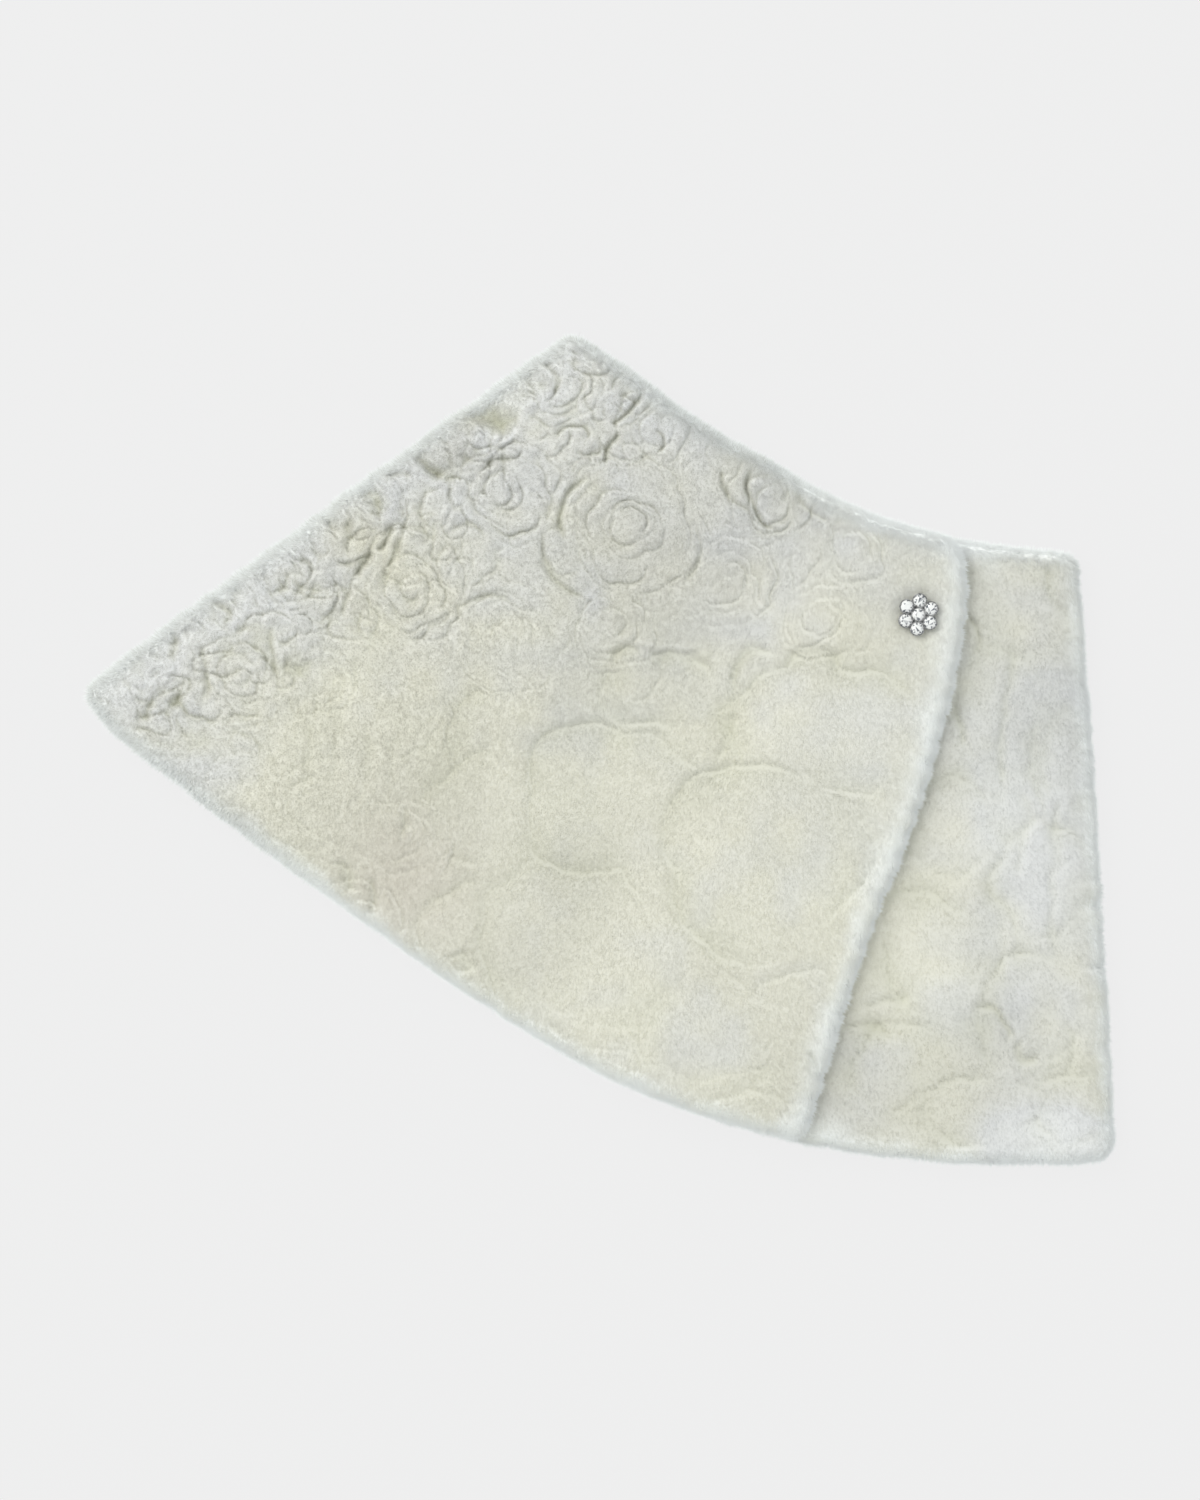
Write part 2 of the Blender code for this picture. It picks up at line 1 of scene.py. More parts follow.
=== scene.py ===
"""Looks of a capelet in ivory rose plush, laid flat with its front up and its crystal button fastened.

Tables are in millimetres and degrees, meshes in metres. A bearing is counted clockwise from +X
about the apex, the point where the two folded sides would meet.
"""
import math
from collections import namedtuple

import bmesh
import bpy
import numpy as np
from mathutils import Matrix, Vector


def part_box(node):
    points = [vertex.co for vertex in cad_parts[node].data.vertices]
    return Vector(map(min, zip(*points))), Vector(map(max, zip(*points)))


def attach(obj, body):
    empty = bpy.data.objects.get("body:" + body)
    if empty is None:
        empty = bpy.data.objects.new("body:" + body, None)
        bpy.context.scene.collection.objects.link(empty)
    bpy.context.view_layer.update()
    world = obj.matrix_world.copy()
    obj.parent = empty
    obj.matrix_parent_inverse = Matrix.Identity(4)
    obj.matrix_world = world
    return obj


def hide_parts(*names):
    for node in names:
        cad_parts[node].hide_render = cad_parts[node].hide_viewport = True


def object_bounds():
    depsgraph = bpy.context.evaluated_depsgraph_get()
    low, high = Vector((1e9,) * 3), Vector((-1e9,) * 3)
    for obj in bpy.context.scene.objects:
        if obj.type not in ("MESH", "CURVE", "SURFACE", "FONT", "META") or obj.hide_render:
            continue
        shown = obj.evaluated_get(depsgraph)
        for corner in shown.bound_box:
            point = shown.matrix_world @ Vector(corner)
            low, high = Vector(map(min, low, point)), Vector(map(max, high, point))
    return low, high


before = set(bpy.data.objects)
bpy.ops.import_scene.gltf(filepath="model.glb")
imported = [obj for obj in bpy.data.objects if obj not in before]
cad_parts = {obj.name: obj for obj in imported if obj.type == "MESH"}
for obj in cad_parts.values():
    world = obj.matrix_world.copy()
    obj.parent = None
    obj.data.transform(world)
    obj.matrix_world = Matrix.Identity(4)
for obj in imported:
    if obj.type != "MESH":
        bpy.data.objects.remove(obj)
cad_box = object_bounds()

# Cut of the panels
# Back, under front and upper front are cut from rose plush to one ring-shaped plan, a knitted
# ground with its pile. The blank below is such a panel before it is laid in its place.
MM = 0.001
APEX = np.array((205.25, 352.75))
Section = namedtuple("Section", "bearing neck hem")
SECTIONS = (
    Section(86.5, 261.5, 543.5),
    Section(96.0, 258.5, 545.3),
    Section(104.0, 257.5, 545.5),
    Section(112.0, 255.3, 543.0),
    Section(120.0, 253.2, 536.5),
    Section(127.0, 255.7, 535.2),
    Section(132.0, 257.5, 538.0),
    Section(137.0, 260.5, 544.0),
    Section(141.0, 266.0, 551.0),
    Section(143.9, 270.5, 553.0),
)
EdgePoint = namedtuple("EdgePoint", "radius bearing")
FRONT_EDGE = (
    EdgePoint(255.0, 98.6),
    EdgePoint(272.0, 97.6),
    EdgePoint(295.0, 97.1),
    EdgePoint(335.0, 97.5),
    EdgePoint(398.0, 99.0),
    EdgePoint(450.0, 100.5),
    EdgePoint(545.0, 101.7),
)
HIDDEN_EDGE = 114.0
FOLD_BOW = 1.2
FOLD_WIDTH = 14.0
EDGE_WIDTH = 5.0
EDGE_SHARE = 0.42
ROUNDING_STEPS = 6
COARSE = 5
RIM_STEPS = (0.0, 1 / 3, 2 / 3, 1.0)  # up the rim of a panel, from its coarse face to its fine one
RIM_INSETS = (2.5, 1.2, 0.35, 0.0)
RIM_SHARES = (0.0, 0.08, 0.22, EDGE_SHARE)
FUZZ_ROOM = 2.6  # the ground stops this far inside the outline, and the pile reaches it
BLANK_RADIUS = 400.0  # where a blank's width is measured
BLANK_BEARING = 112.0  # where its length is measured
PLACING_ROUNDS = 6
MOTTLE_KNOTS = (97, 101)
MOTTLE_SHIFT = (40.3, 40.7)
Patches = namedtuple("Patches", "height size seed")
Panel = namedtuple("Panel", "name left right fold_left fold_right corners spacing")


def through(knots, at):
    """Reads a smooth curve through the knots, pairs in rising order."""
    xs, ys = np.array(knots, float).T
    slopes = np.gradient(ys, xs)
    slopes[1:-1] = (ys[2:] - ys[:-2]) / (xs[2:] - xs[:-2])
    i = np.clip(np.searchsorted(xs, at, "right") - 1, 0, len(xs) - 2)
    span = xs[i + 1] - xs[i]
    t = np.clip((at - xs[i]) / span, 0.0, 1.0)
    return (
        ys[i] * (2 * t**3 - 3 * t**2 + 1)
        + slopes[i] * span * (t**3 - 2 * t**2 + t)
        + ys[i + 1] * (3 * t**2 - 2 * t**3)
        + slopes[i + 1] * span * (t**3 - t**2)
    )


def neck_radius(bearing):
    return through([(s.bearing, s.neck) for s in SECTIONS], bearing)


def hem_radius(bearing):
    return through([(s.bearing, s.hem) for s in SECTIONS], bearing)


def bow(radius):
    """How far a folded or hidden side swells outwards, in degrees."""
    neck, hem = SECTIONS[-1].neck, SECTIONS[-1].hem
    share = (radius - neck) / (hem - neck)
    return np.degrees(FOLD_BOW * 4 * share * (1 - share) / radius)


def left_fold(radius):
    return SECTIONS[-1].bearing + bow(radius)


def right_fold(radius):
    return SECTIONS[0].bearing - bow(radius)


def front_edge(radius):
    return through(FRONT_EDGE, radius)


def hidden_edge(radius):
    return HIDDEN_EDGE + bow(radius)


def smooth(t):
    t = np.clip(t, 0.0, 1.0)
    return t * t * (3 - 2 * t)


def dome(distance, width):
    """Share of the full pile height at this distance in from an edge, a quarter ellipse."""
    t = 1.0 - np.clip(distance / width, 0.0, 1.0)
    return np.sqrt(1.0 - t * t)


def mottle(x, y, size, seed):
    """Soft random unevenness from -1 to 1, with patches of this size."""
    knots = np.random.default_rng(seed).uniform(-1, 1, MOTTLE_KNOTS)
    across, along = x / size + MOTTLE_SHIFT[0], y / size + MOTTLE_SHIFT[1]
    i, j = np.floor(across).astype(int), np.floor(along).astype(int)
    u, v = smooth(across - i), smooth(along - j)
    i, j = i % MOTTLE_KNOTS[0], j % MOTTLE_KNOTS[1]
    k, m = (i + 1) % MOTTLE_KNOTS[0], (j + 1) % MOTTLE_KNOTS[1]
    near = knots[i, j] * (1 - u) + knots[k, j] * u
    far = knots[i, m] * (1 - u) + knots[k, m] * u
    return near * (1 - v) + far * v


def patchy(value, x, y, layers):
    """Adds each layer of soft patches to a value."""
    for layer in layers:
        value = value + layer.height * mottle(x, y, layer.size, layer.seed)
    return value


def wavering(value, along, layers):
    """Adds each layer of soft patches to a value that follows an edge."""
    return patchy(value, along, np.zeros_like(along), layers)


def stations(length, near, far, spacing):
    """Distances across a panel: close together over the rounding at each end, even between."""
    ease = 1 - np.cos(np.radians(np.linspace(0, 90, ROUNDING_STEPS + 1)))
    count = round((length - near - far) / spacing)
    count += -(count + 2 * ROUNDING_STEPS) % COARSE
    middle = np.linspace(near, length - far, count + 1)
    return np.concatenate((near * ease[:-1], middle, length - far * ease[-2::-1]))


def stretched(station, length, near, far, nominal):
    """The stations fitted to a length, their two end bands as wide as before."""
    share = np.clip((station - near) / (nominal - near - far), 0, 1)
    start = np.minimum(station, near)
    end = np.maximum(station - (nominal - far), 0)
    return start + share * (length - near - far) + end


def blank(name, columns, rows):
    """A closed flat blank, one unit each way: fine face above, coarse face below, rim between."""
    shape = bmesh.new()
    above = Matrix.Translation((0.5, 0.5, 1.0))
    below = Matrix.Translation((0.5, 0.5, 0.0))
    bmesh.ops.create_grid(shape, x_segments=columns, y_segments=rows, size=0.5, matrix=above)
    upper = [e for e in shape.edges if e.is_boundary]
    coarse = bmesh.ops.create_grid(
        shape, x_segments=columns // COARSE, y_segments=rows // COARSE, size=0.5, matrix=below
    )
    lower = list({e for v in coarse["verts"] for e in v.link_edges if e.is_boundary})
    cut = bmesh.ops.bisect_edges(shape, edges=lower, cuts=COARSE - 1)
    lower = [g for g in cut["geom_split"] if isinstance(g, bmesh.types.BMEdge) and g.is_boundary]
    rim = bmesh.ops.bridge_loops(shape, edges=[*upper, *lower])
    upright = [e for e in rim["edges"] if abs(e.verts[0].co.z - e.verts[1].co.z) > 0.5]
    bmesh.ops.subdivide_edges(shape, edges=upright, cuts=len(RIM_STEPS) - 2)
    mesh = bpy.data.meshes.new(name)
    shape.to_mesh(mesh)
    shape.free()
    return mesh


def placed(panel, uneven):
    """Lays a panel's blank on the plan, within uneven edges.

    Gives its mesh, its plan points, their share of the panel's height, which of them are on the
    fine face, and how far in from the edge they lie.
    """
    near_u = FOLD_WIDTH if panel.fold_left else EDGE_WIDTH
    far_u = FOLD_WIDTH if panel.fold_right else EDGE_WIDTH
    neck, hem = neck_radius(BLANK_BEARING), hem_radius(BLANK_BEARING)
    spread = float(panel.left(BLANK_RADIUS) - panel.right(BLANK_RADIUS))
    nominal_u = math.radians(spread) * BLANK_RADIUS
    nominal_v = float(hem - neck)
    marks_u = stations(nominal_u, near_u, far_u, panel.spacing)
    marks_v = stations(nominal_v, EDGE_WIDTH, EDGE_WIDTH, panel.spacing)
    columns, rows = len(marks_u) - 1, len(marks_v) - 1
    mesh = blank(panel.name, columns, rows)
    flat = np.empty(len(mesh.vertices) * 3)
    mesh.vertices.foreach_get("co", flat)
    u, v, w = flat.reshape(-1, 3).T
    station_u = np.interp(u * columns, np.arange(columns + 1), marks_u)
    station_v = np.interp(v * rows, np.arange(rows + 1), marks_v)

    rim_inset = np.interp(w, RIM_STEPS, RIM_INSETS) + FUZZ_ROOM
    left_inset, right_inset, neck_inset, hem_inset = uneven(station_u, station_v)
    radius = neck + station_v
    bearing = panel.left(radius) - np.degrees(station_u / radius)
    for _ in range(PLACING_ROUNDS):
        width = np.radians(panel.left(radius) - panel.right(radius)) * radius
        length = hem_radius(bearing) - neck_radius(bearing)
        across = stretched(station_u, width, near_u, far_u, nominal_u)
        down = stretched(station_v, length, EDGE_WIDTH, EDGE_WIDTH, nominal_v)
        from_sides = (across, width - across, down, length - down)
        for corner, (on_left, on_neck) in zip(panel.corners, ((1, 1), (0, 1), (0, 0), (1, 0))):
            side = across if on_left else width - across
            cut = down if on_neck else length - down
            p = np.clip((corner - side) / corner, 0, 1)
            q = np.clip((corner - cut) / corner, 0, 1)
            inside = (p > 0) & (q > 0)
            side = np.where(inside, corner * (1 - p * np.sqrt(1 - q * q / 2)), side)
            cut = np.where(inside, corner * (1 - q * np.sqrt(1 - p * p / 2)), cut)
            across = side if on_left else width - side
            down = cut if on_neck else length - cut
        left, right = left_inset + rim_inset, right_inset + rim_inset
        top, bottom = neck_inset + rim_inset, hem_inset + rim_inset
        across = left + across * (width - left - right) / width
        down = top + down * (length - top - bottom) / length
        radius = neck_radius(bearing) + down
        bearing = panel.left(radius) - np.degrees(across / radius)

    angle = np.radians(bearing)
    x = APEX[0] + radius * np.cos(angle)
    y = APEX[1] - radius * np.sin(angle)
    cut_share = dome(from_sides[2], EDGE_WIDTH) * dome(from_sides[3], EDGE_WIDTH)
    fold_share = np.ones_like(x)
    for distance, is_fold in zip(from_sides, (panel.fold_left, panel.fold_right)):
        if is_fold:
            fold_share *= dome(distance, FOLD_WIDTH)
        else:
            cut_share = cut_share * dome(distance, EDGE_WIDTH)
    on_top = w > 0.99
    face_share = EDGE_SHARE + (1 - EDGE_SHARE) * cut_share
    share = np.where(on_top, face_share, np.interp(w, RIM_STEPS, RIM_SHARES)) * fold_share
    inward = np.minimum.reduce(from_sides)
    return mesh, x, y, share, on_top, inward


def set_shape(mesh, x, y, z):
    """Gives a laid panel its points, and turns its faces outwards."""
    mesh.vertices.foreach_set("co", np.column_stack((x, y, z)).ravel() * MM)
    shape = bmesh.new()
    shape.from_mesh(mesh)
    bmesh.ops.recalc_face_normals(shape, faces=shape.faces)
    shape.to_mesh(mesh)
    shape.free()
    mesh.shade_smooth()


def mark(mesh, name, values):
    """Stores one number for each point of a mesh, for its material and its pile to read."""
    layer = mesh.attributes.new(name, "FLOAT", "POINT")
    layer.data.foreach_set("value", np.asarray(values, np.float32))


def read_mark(mesh, name):
    values = np.empty(len(mesh.vertices), np.float32)
    mesh.attributes[name].data.foreach_get("value", values)
    return values


def add_piece(name, mesh, finish):
    """Makes a shown piece of a finished mesh, which rides with the garment."""
    mesh.materials.clear()
    mesh.materials.append(finish)
    piece = bpy.data.objects.new(name, mesh)
    bpy.context.scene.collection.objects.link(piece)
    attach(piece, "root")
    return piece


# Plush finish
# Knitted ground and silky polyester pile dyed ivory: cool grey-white where the roses stand up, warm
# over the broad petals, with warm painted shade in the hollows and at the pile's roots, painted shade
# where the nap lies towards the light, and bluish white where the pile thins at edges, painted lighter
# there as if lit through.
COOL_CREST = (0.815, 0.820, 0.800)
WARM_CREST = (0.880, 0.866, 0.742)
# painted shade for the pressed-in grooves of the relief, darker and warmer than the crests
HOLLOW_SHADE_TONE = (0.68, 0.68, 0.52)
# pale where the pile thins at the edges, and painted lighter there as if light passed through the thin
# pile
EDGE_PALE_AND_LIT_TONE = (0.960, 0.985, 0.970)
BLUSH_TONE = (0.86, 0.81, 0.70)
ROOT_SHADE = (0.74, 0.74, 0.71)
NAP_SHADE = (0.80, 0.80, 0.80)  # painted shade: darker where the nap lies towards the light, and over the smooth pile
PATCH_SCALE = 38.0
PATCH_DETAIL = 3.0
PATCH_STRENGTH = 0.5
BLUSH_SHARE = 0.8
HOLLOW_SHADE_SHARE = 0.85
ROOT_SHARE = 0.30
KNIT_SCALE = 900.0
KNIT_DETAIL = 2.0
KNIT_BUMP = 0.35
KNIT_DEPTH = 0.0006


def node(tree, kind, **settings):
    made = tree.nodes.new(kind)
    for key, value in settings.items():
        setattr(made, key, value)
    return made


def tone_mix(tree, first, second, share, blend="MIX"):
    """Mixes two colours by a linked share. Either colour is a link or a fixed tone."""
    mix = node(tree, "ShaderNodeMix", data_type="RGBA", blend_type=blend)
    sockets = [s for s in mix.inputs if s.type == "RGBA"]
    for socket, value in zip(sockets, (first, second)):
        if isinstance(value, tuple):
            socket.default_value = (*value, 1.0)
        else:
            tree.links.new(value, socket)
    tree.links.new(share, mix.inputs["Factor"])
    return [s for s in mix.outputs if s.type == "RGBA"][0]


def scaled(tree, value, factor, offset=0.0, bounded=True):
    made = node(tree, "ShaderNodeMath", operation="MULTIPLY_ADD", use_clamp=bounded)
    tree.links.new(value, made.inputs[0])
    made.inputs[1].default_value = factor
    made.inputs[2].default_value = offset
    return made.outputs[0]


def plush_material(name, is_pile):
    """Ivory plush. The pile also has painted shade at its roots, lightening to its tip, and painted
    shade on some whole tufts.
    """
    made = bpy.data.materials.new(name)
    made.use_nodes = True
    tree = made.node_tree
    shader = tree.nodes["Principled BSDF"]
    marks = {
        key: node(tree, "ShaderNodeAttribute", attribute_name=key).outputs["Fac"]
        for key in ("warmth", "dimness", "hollow_shade", "edge", "blush", "tip")
    }
    place = node(tree, "ShaderNodeTexCoord").outputs["Object"]
    patches = node(tree, "ShaderNodeTexNoise")
    patches.inputs["Scale"].default_value = PATCH_SCALE
    patches.inputs["Detail"].default_value = PATCH_DETAIL
    tree.links.new(place, patches.inputs["Vector"])
    patch = scaled(
        tree, patches.outputs["Fac"], PATCH_STRENGTH, -PATCH_STRENGTH / 2, bounded=False
    )
    lean = node(tree, "ShaderNodeMath", operation="ADD", use_clamp=True)
    tree.links.new(marks["warmth"], lean.inputs[0])
    tree.links.new(patch, lean.inputs[1])
    color = tone_mix(tree, COOL_CREST, WARM_CREST, lean.outputs[0])
    color = tone_mix(tree, color, BLUSH_TONE, scaled(tree, marks["blush"], BLUSH_SHARE))
    # painted shade in the pressed-in grooves of the relief
    color = tone_mix(tree, color, HOLLOW_SHADE_TONE, scaled(tree, marks["hollow_shade"], HOLLOW_SHADE_SHARE))
    # edges: pale thin pile, with painted light where it is lit through
    color = tone_mix(tree, color, EDGE_PALE_AND_LIT_TONE, marks["edge"])
    # painted shade in patches where the nap lies towards the light
    color = tone_mix(tree, color, NAP_SHADE, marks["dimness"], blend="MULTIPLY")
    if is_pile:
        shade = node(tree, "ShaderNodeAttribute", attribute_name="fibre_shade").outputs["Fac"]
        root = scaled(tree, marks["tip"], -ROOT_SHARE, ROOT_SHARE)
        total = node(tree, "ShaderNodeMath", operation="ADD", use_clamp=True)
        tree.links.new(root, total.inputs[0])
        tree.links.new(shade, total.inputs[1])
        color = tone_mix(tree, color, ROOT_SHADE, total.outputs[0], blend="MULTIPLY")
    else:
        grain = node(tree, "ShaderNodeTexNoise")
        grain.inputs["Scale"].default_value = KNIT_SCALE
        grain.inputs["Detail"].default_value = KNIT_DETAIL
        tree.links.new(place, grain.inputs["Vector"])
        relief = node(tree, "ShaderNodeBump")
        relief.inputs["Strength"].default_value = KNIT_BUMP
        relief.inputs["Distance"].default_value = KNIT_DEPTH
        tree.links.new(grain.outputs["Fac"], relief.inputs["Height"])
        tree.links.new(relief.outputs["Normal"], shader.inputs["Normal"])
    tree.links.new(color, shader.inputs["Base Color"])
    shader.inputs["Roughness"].default_value = 0.92
    shader.inputs["Specular IOR Level"].default_value = 0.15
    shader.inputs["Sheen Weight"].default_value = 0.25
    shader.inputs["Sheen Roughness"].default_value = 0.55
    return made


ground_finish = plush_material("plush_ground", is_pile=False)
pile_finish = plush_material("plush_pile", is_pile=True)

# Pile
# Each tuft of the pile is one narrow blade, rooted in the panel's face and brushed over
# towards the hem, with some crossing the others as silky fibres do.
TUFT_WIDTH = 0.42
TUFT_LENGTHS = (1.7, 3.0)
TUFT_RISE = 27.0
TUFT_RISE_SPREAD = 11.0
TUFT_RISE_LIMITS = (4, 85)
TUFT_STRAY = 38.0
TUFT_SWIRL = 30.0
SWIRL_SIZE = 23.0
TUFT_DEPTH = 0.25
TUFT_SOFTNESS = 0.88
SMOOTH_ROOTS = 0.88  # where the pile lies smooth, it is flat and even and the painted shade at its roots hardly shows
SMOOTH_STRAY = 0.4
SMOOTH_RISE = 0.36
SMOOTH_SOFTNESS = 0.12
EDGE_LENGTHENING = 0.9
ROSE_SHORTENING = 0.35
EDGE_BAND = 3.0
WALL_DROOP = 3.0  # on a steep side the tufts hang outwards, standing off from the ground
WALL_RISE = 55.0
WALL_RISE_POWER = 1.5
EDGE_GLOW = 4.0  # the thin pile along an edge is lit through, as if it faced the light above
THIN_GLOW = 0.6
FLOOR_ROOM = 0.2
TINY = 1e-9


def lay_pile(name, shell, count, weight, seed):
    """Roots tufts on a panel's faces, more where the weight is larger, and brushes them over."""
    rng = np.random.default_rng(seed)
    mesh = shell.data
    mesh.calc_loop_triangles()
    corners = np.empty(len(mesh.loop_triangles) * 3, np.int32)
    mesh.loop_triangles.foreach_get("vertices", corners)
    corners = corners.reshape(-1, 3)
    points = np.empty(len(mesh.vertices) * 3)
    mesh.vertices.foreach_get("co", points)
    points = points.reshape(-1, 3) / MM
    normals = np.empty(len(mesh.vertices) * 3)
    mesh.vertices.foreach_get("normal", normals)
    normals = normals.reshape(-1, 3)

    a, b, c = (points[corners[:, k]] for k in range(3))
    areas = np.linalg.norm(np.cross(b - a, c - a), axis=1) * weight[corners].mean(axis=1)
    heap = np.cumsum(areas)
    chosen = corners[np.searchsorted(heap, rng.uniform(0, heap[-1], count))]
    r1, r2 = np.sqrt(rng.uniform(0, 1, count)), rng.uniform(0, 1, count)
    shares = np.column_stack((1 - r1, r1 * (1 - r2), r1 * r2))
    root = (points[chosen] * shares[:, :, None]).sum(axis=1)
    up = (normals[chosen] * shares[:, :, None]).sum(axis=1)
    up /= np.linalg.norm(up, axis=1)[:, None]
    grain, at_edge, thin = (
        (read_mark(mesh, key)[chosen] * shares).sum(axis=1) for key in ("grain", "rim", "edge")
    )

    swirl = TUFT_SWIRL * mottle(root[:, 0], root[:, 1], SWIRL_SIZE, seed + 1)
    heading = np.arctan2(root[:, 1] - APEX[1], root[:, 0] - APEX[0])
    stray = TUFT_STRAY * (SMOOTH_STRAY + (1 - SMOOTH_STRAY) * grain)
    heading += np.radians(swirl + stray * rng.normal(0, 1, count))
    steep = 1 - np.clip(up[:, 2], 0, 1)
    nap = np.column_stack((np.cos(heading), np.sin(heading), -WALL_DROOP * steep))
    nap -= (nap * up).sum(axis=1)[:, None] * up
    nap /= np.linalg.norm(nap, axis=1)[:, None] + TINY
    across = np.cross(nap, up)
    rise = rng.normal(TUFT_RISE, TUFT_RISE_SPREAD, count)
    rise = rise * (SMOOTH_RISE + (1 - SMOOTH_RISE) * grain) + WALL_RISE * steep**WALL_RISE_POWER
    rise = np.radians(np.clip(rise, *TUFT_RISE_LIMITS))[:, None]
    longer = 1 + EDGE_LENGTHENING * at_edge * rng.uniform(0, 1, count)
    longer -= ROSE_SHORTENING * grain * (1 - at_edge)
    length = (rng.uniform(*TUFT_LENGTHS, count) * longer)[:, None]
    half = across * TUFT_WIDTH / 2
    base = root - up * TUFT_DEPTH
    tip = base + length * (np.cos(rise) * nap + np.sin(rise) * up)
    facing = np.cross(half, tip - base)
    facing /= np.linalg.norm(facing, axis=1)[:, None]
    softness = (TUFT_SOFTNESS + SMOOTH_SOFTNESS * (1 - grain))[:, None]
    soft = softness * up + (1 - softness) * facing
    soft[:, 2] += EDGE_GLOW * at_edge + THIN_GLOW * thin
    soft /= np.linalg.norm(soft, axis=1)[:, None]
    half *= np.where((facing * soft).sum(axis=1) < 0, -1.0, 1.0)[:, None]
    blades = np.stack((base - half, base + half, tip), axis=1).reshape(-1, 3)
    blades[:, 2] = np.maximum(blades[:, 2], FLOOR_ROOM)

    pile = bpy.data.meshes.new(name)
    pile.vertices.add(3 * count)
    pile.vertices.foreach_set("co", blades.ravel() * MM)
    pile.loops.add(3 * count)
    pile.loops.foreach_set("vertex_index", np.arange(3 * count, dtype=np.int32))
    pile.polygons.add(count)
    pile.polygons.foreach_set("loop_start", np.arange(0, 3 * count, 3, dtype=np.int32))
    pile.update(calc_edges=True)
    pile.shade_smooth()
    pile.normals_split_custom_set_from_vertices(np.repeat(soft, 3, axis=0))
    for key in ("warmth", "dimness", "hollow_shade", "edge", "blush"):
        values = (read_mark(mesh, key)[chosen] * shares).sum(axis=1)
        mark(pile, key, np.repeat(values, 3))
    # painted shade at the roots, weaker where the pile lies smooth or thin; some tufts get painted
    # shade along their whole length
    root_tone = np.maximum(SMOOTH_ROOTS * (1 - grain), thin)
    mark(pile, "tip", np.column_stack((root_tone, root_tone, np.ones(count))).ravel())
    mark(pile, "fibre_shade", np.repeat(grain * rng.uniform(0, 1, count) ** 2, 3))
    return add_piece(name, pile, pile_finish)


Slope = namedtuple("Slope", "x y start reach")
LOWER_SLOPE = Slope(0.35, -1, -85, 120)
LEFT_SLOPE = Slope(1, 0, -225, 90)
GRAIN_SLOPE = Slope(-0.75, 1, -10, 110)
# Each spot shifts the warmth of the pile around it and adds or takes away painted shade (last column).
Spot = namedtuple("Spot", "x y width length warmth dimness")
SPOTS = (
    Spot(205, 72, 34, 46, 0.00, 0.5),
    Spot(190, 8, 44, 56, -0.85, 0.2),
    Spot(217, 20, 22, 60, -0.60, 0.3),
    Spot(202, -58, 34, 62, -0.75, -0.4),
    Spot(184, -32, 26, 30, -0.20, -0.6),
    Spot(161, -115, 34, 34, -0.40, -0.5),
    Spot(190, -60, 110, 180, -0.32, 0.0),
    Spot(144, -84, 40, 60, 0.40, 0.0),
    Spot(160, -155, 44, 50, 0.45, 0.5),
    Spot(218, -150, 26, 26, 0.45, 0.0),
    Spot(186, -128, 36, 40, -0.40, 0.4),
    Spot(212, -184, 40, 24, -0.60, -0.3),
    Spot(110, -165, 40, 40, -0.45, 0.6),
    Spot(46, -138, 40, 30, -0.20, -0.2),
    Spot(118, 18, 40, 24, -0.50, -0.4),
    Spot(120, 62, 30, 26, 0.30, 0.0),
    Spot(76, 70, 30, 26, 0.00, -0.2),
    Spot(104, 112, 30, 20, 0.20, 0.5),
    Spot(124, -34, 24, 40, -0.40, 0.0),
    Spot(0, -66, 44, 40, 0.05, 0.3),
    Spot(-62, -96, 60, 16, 0.40, 0.3),
    Spot(206, -174, 40, 16, -0.60, -0.6),
    Spot(20, 92, 80, 60, 0.35, 0.75),
    Spot(-92, 70, 40, 40, 0.40, 0.3),
    Spot(-62, 40, 60, 60, 0.50, 0.15),
    Spot(-110, -15, 60, 60, 0.80, 0.4),
    Spot(-88, -62, 44, 36, 0.70, 0.3),
    Spot(-140, 18, 40, 40, 0.45, 0.0),
    Spot(205, -178, 60, 26, -0.90, -0.1),
    Spot(-172, 28, 34, 30, 0.10, 0.0),
    Spot(-72, 138, 30, 16, 0.65, 1.2),
    Spot(-116, 102, 30, 22, 0.55, 0.8),
    Spot(-58, 153, 20, 10, 0.90, 1.2),
    Spot(-50, 143, 9, 8, -0.90, -1.2),
    Spot(88, -62, 60, 60, 0.00, -0.3),
    Spot(132, -40, 30, 90, 0.00, -0.3),
)
SPOT_FALL = 2.0
PLAIN_WARMTH = 0.20
LOWER_WARMTH = 0.80
WARM_PATCHES = (Patches(0.16, 34.0, 5), Patches(0.28, 13.0, 6))
LEAST_GRAIN = 0.08
# painted shade in patches, stronger where the pile lies smooth
PAINTED_SHADE_SCALE = 0.7
PLAIN_PAINTED_SHADE = 0.33
SMOOTH_PAINTED_SHADE = 0.72
PAINTED_SHADE_PATCHES = (Patches(0.15, 18.0, 7),)
THIN_BAND = 8.0
FRONT_BAND = 15.0  # the pile is thin further in along the front edge
FRONT_BAND_START = 3.0
FRONT_BAND_REACH = 12.0
BAND_PATCHES = (Patches(0.35, 14.0, 8),)
EDGE_THINNESS = 0.80
EDGE_PATCHES = (Patches(0.15, 9.0, 9),)
RIM_THINNESS = 0.98
BY_FOLD_WIDTH = 32.0  # by the left fold the pile is cooler and has less painted shade, so it looks paler
BY_FOLD_PAINTED_SHADE = -0.5
BY_FOLD_WARMTH = -0.4
BY_FOLD_HOLLOW_SHADE = -0.45
BLUSH = 0.85
BLUSH_PLACE = (-88, -58)
BLUSH_SIZE = 20.0
FULL_HOLLOW_SHADE = 3.5  # relief this deep gets the full painted shade of a pressed-in groove


def about_apex(x, y):
    """Radius and bearing of plan places."""
    radius = np.hypot(x - APEX[0], y - APEX[1])
    return radius, np.degrees(np.arctan2(APEX[1] - y, x - APEX[0]))


def sloping(x, y, slope):
    """Rises from 0 to 1 across the garment, over the slope's reach."""
    return smooth((slope.x * x + slope.y * y - slope.start) / slope.reach)


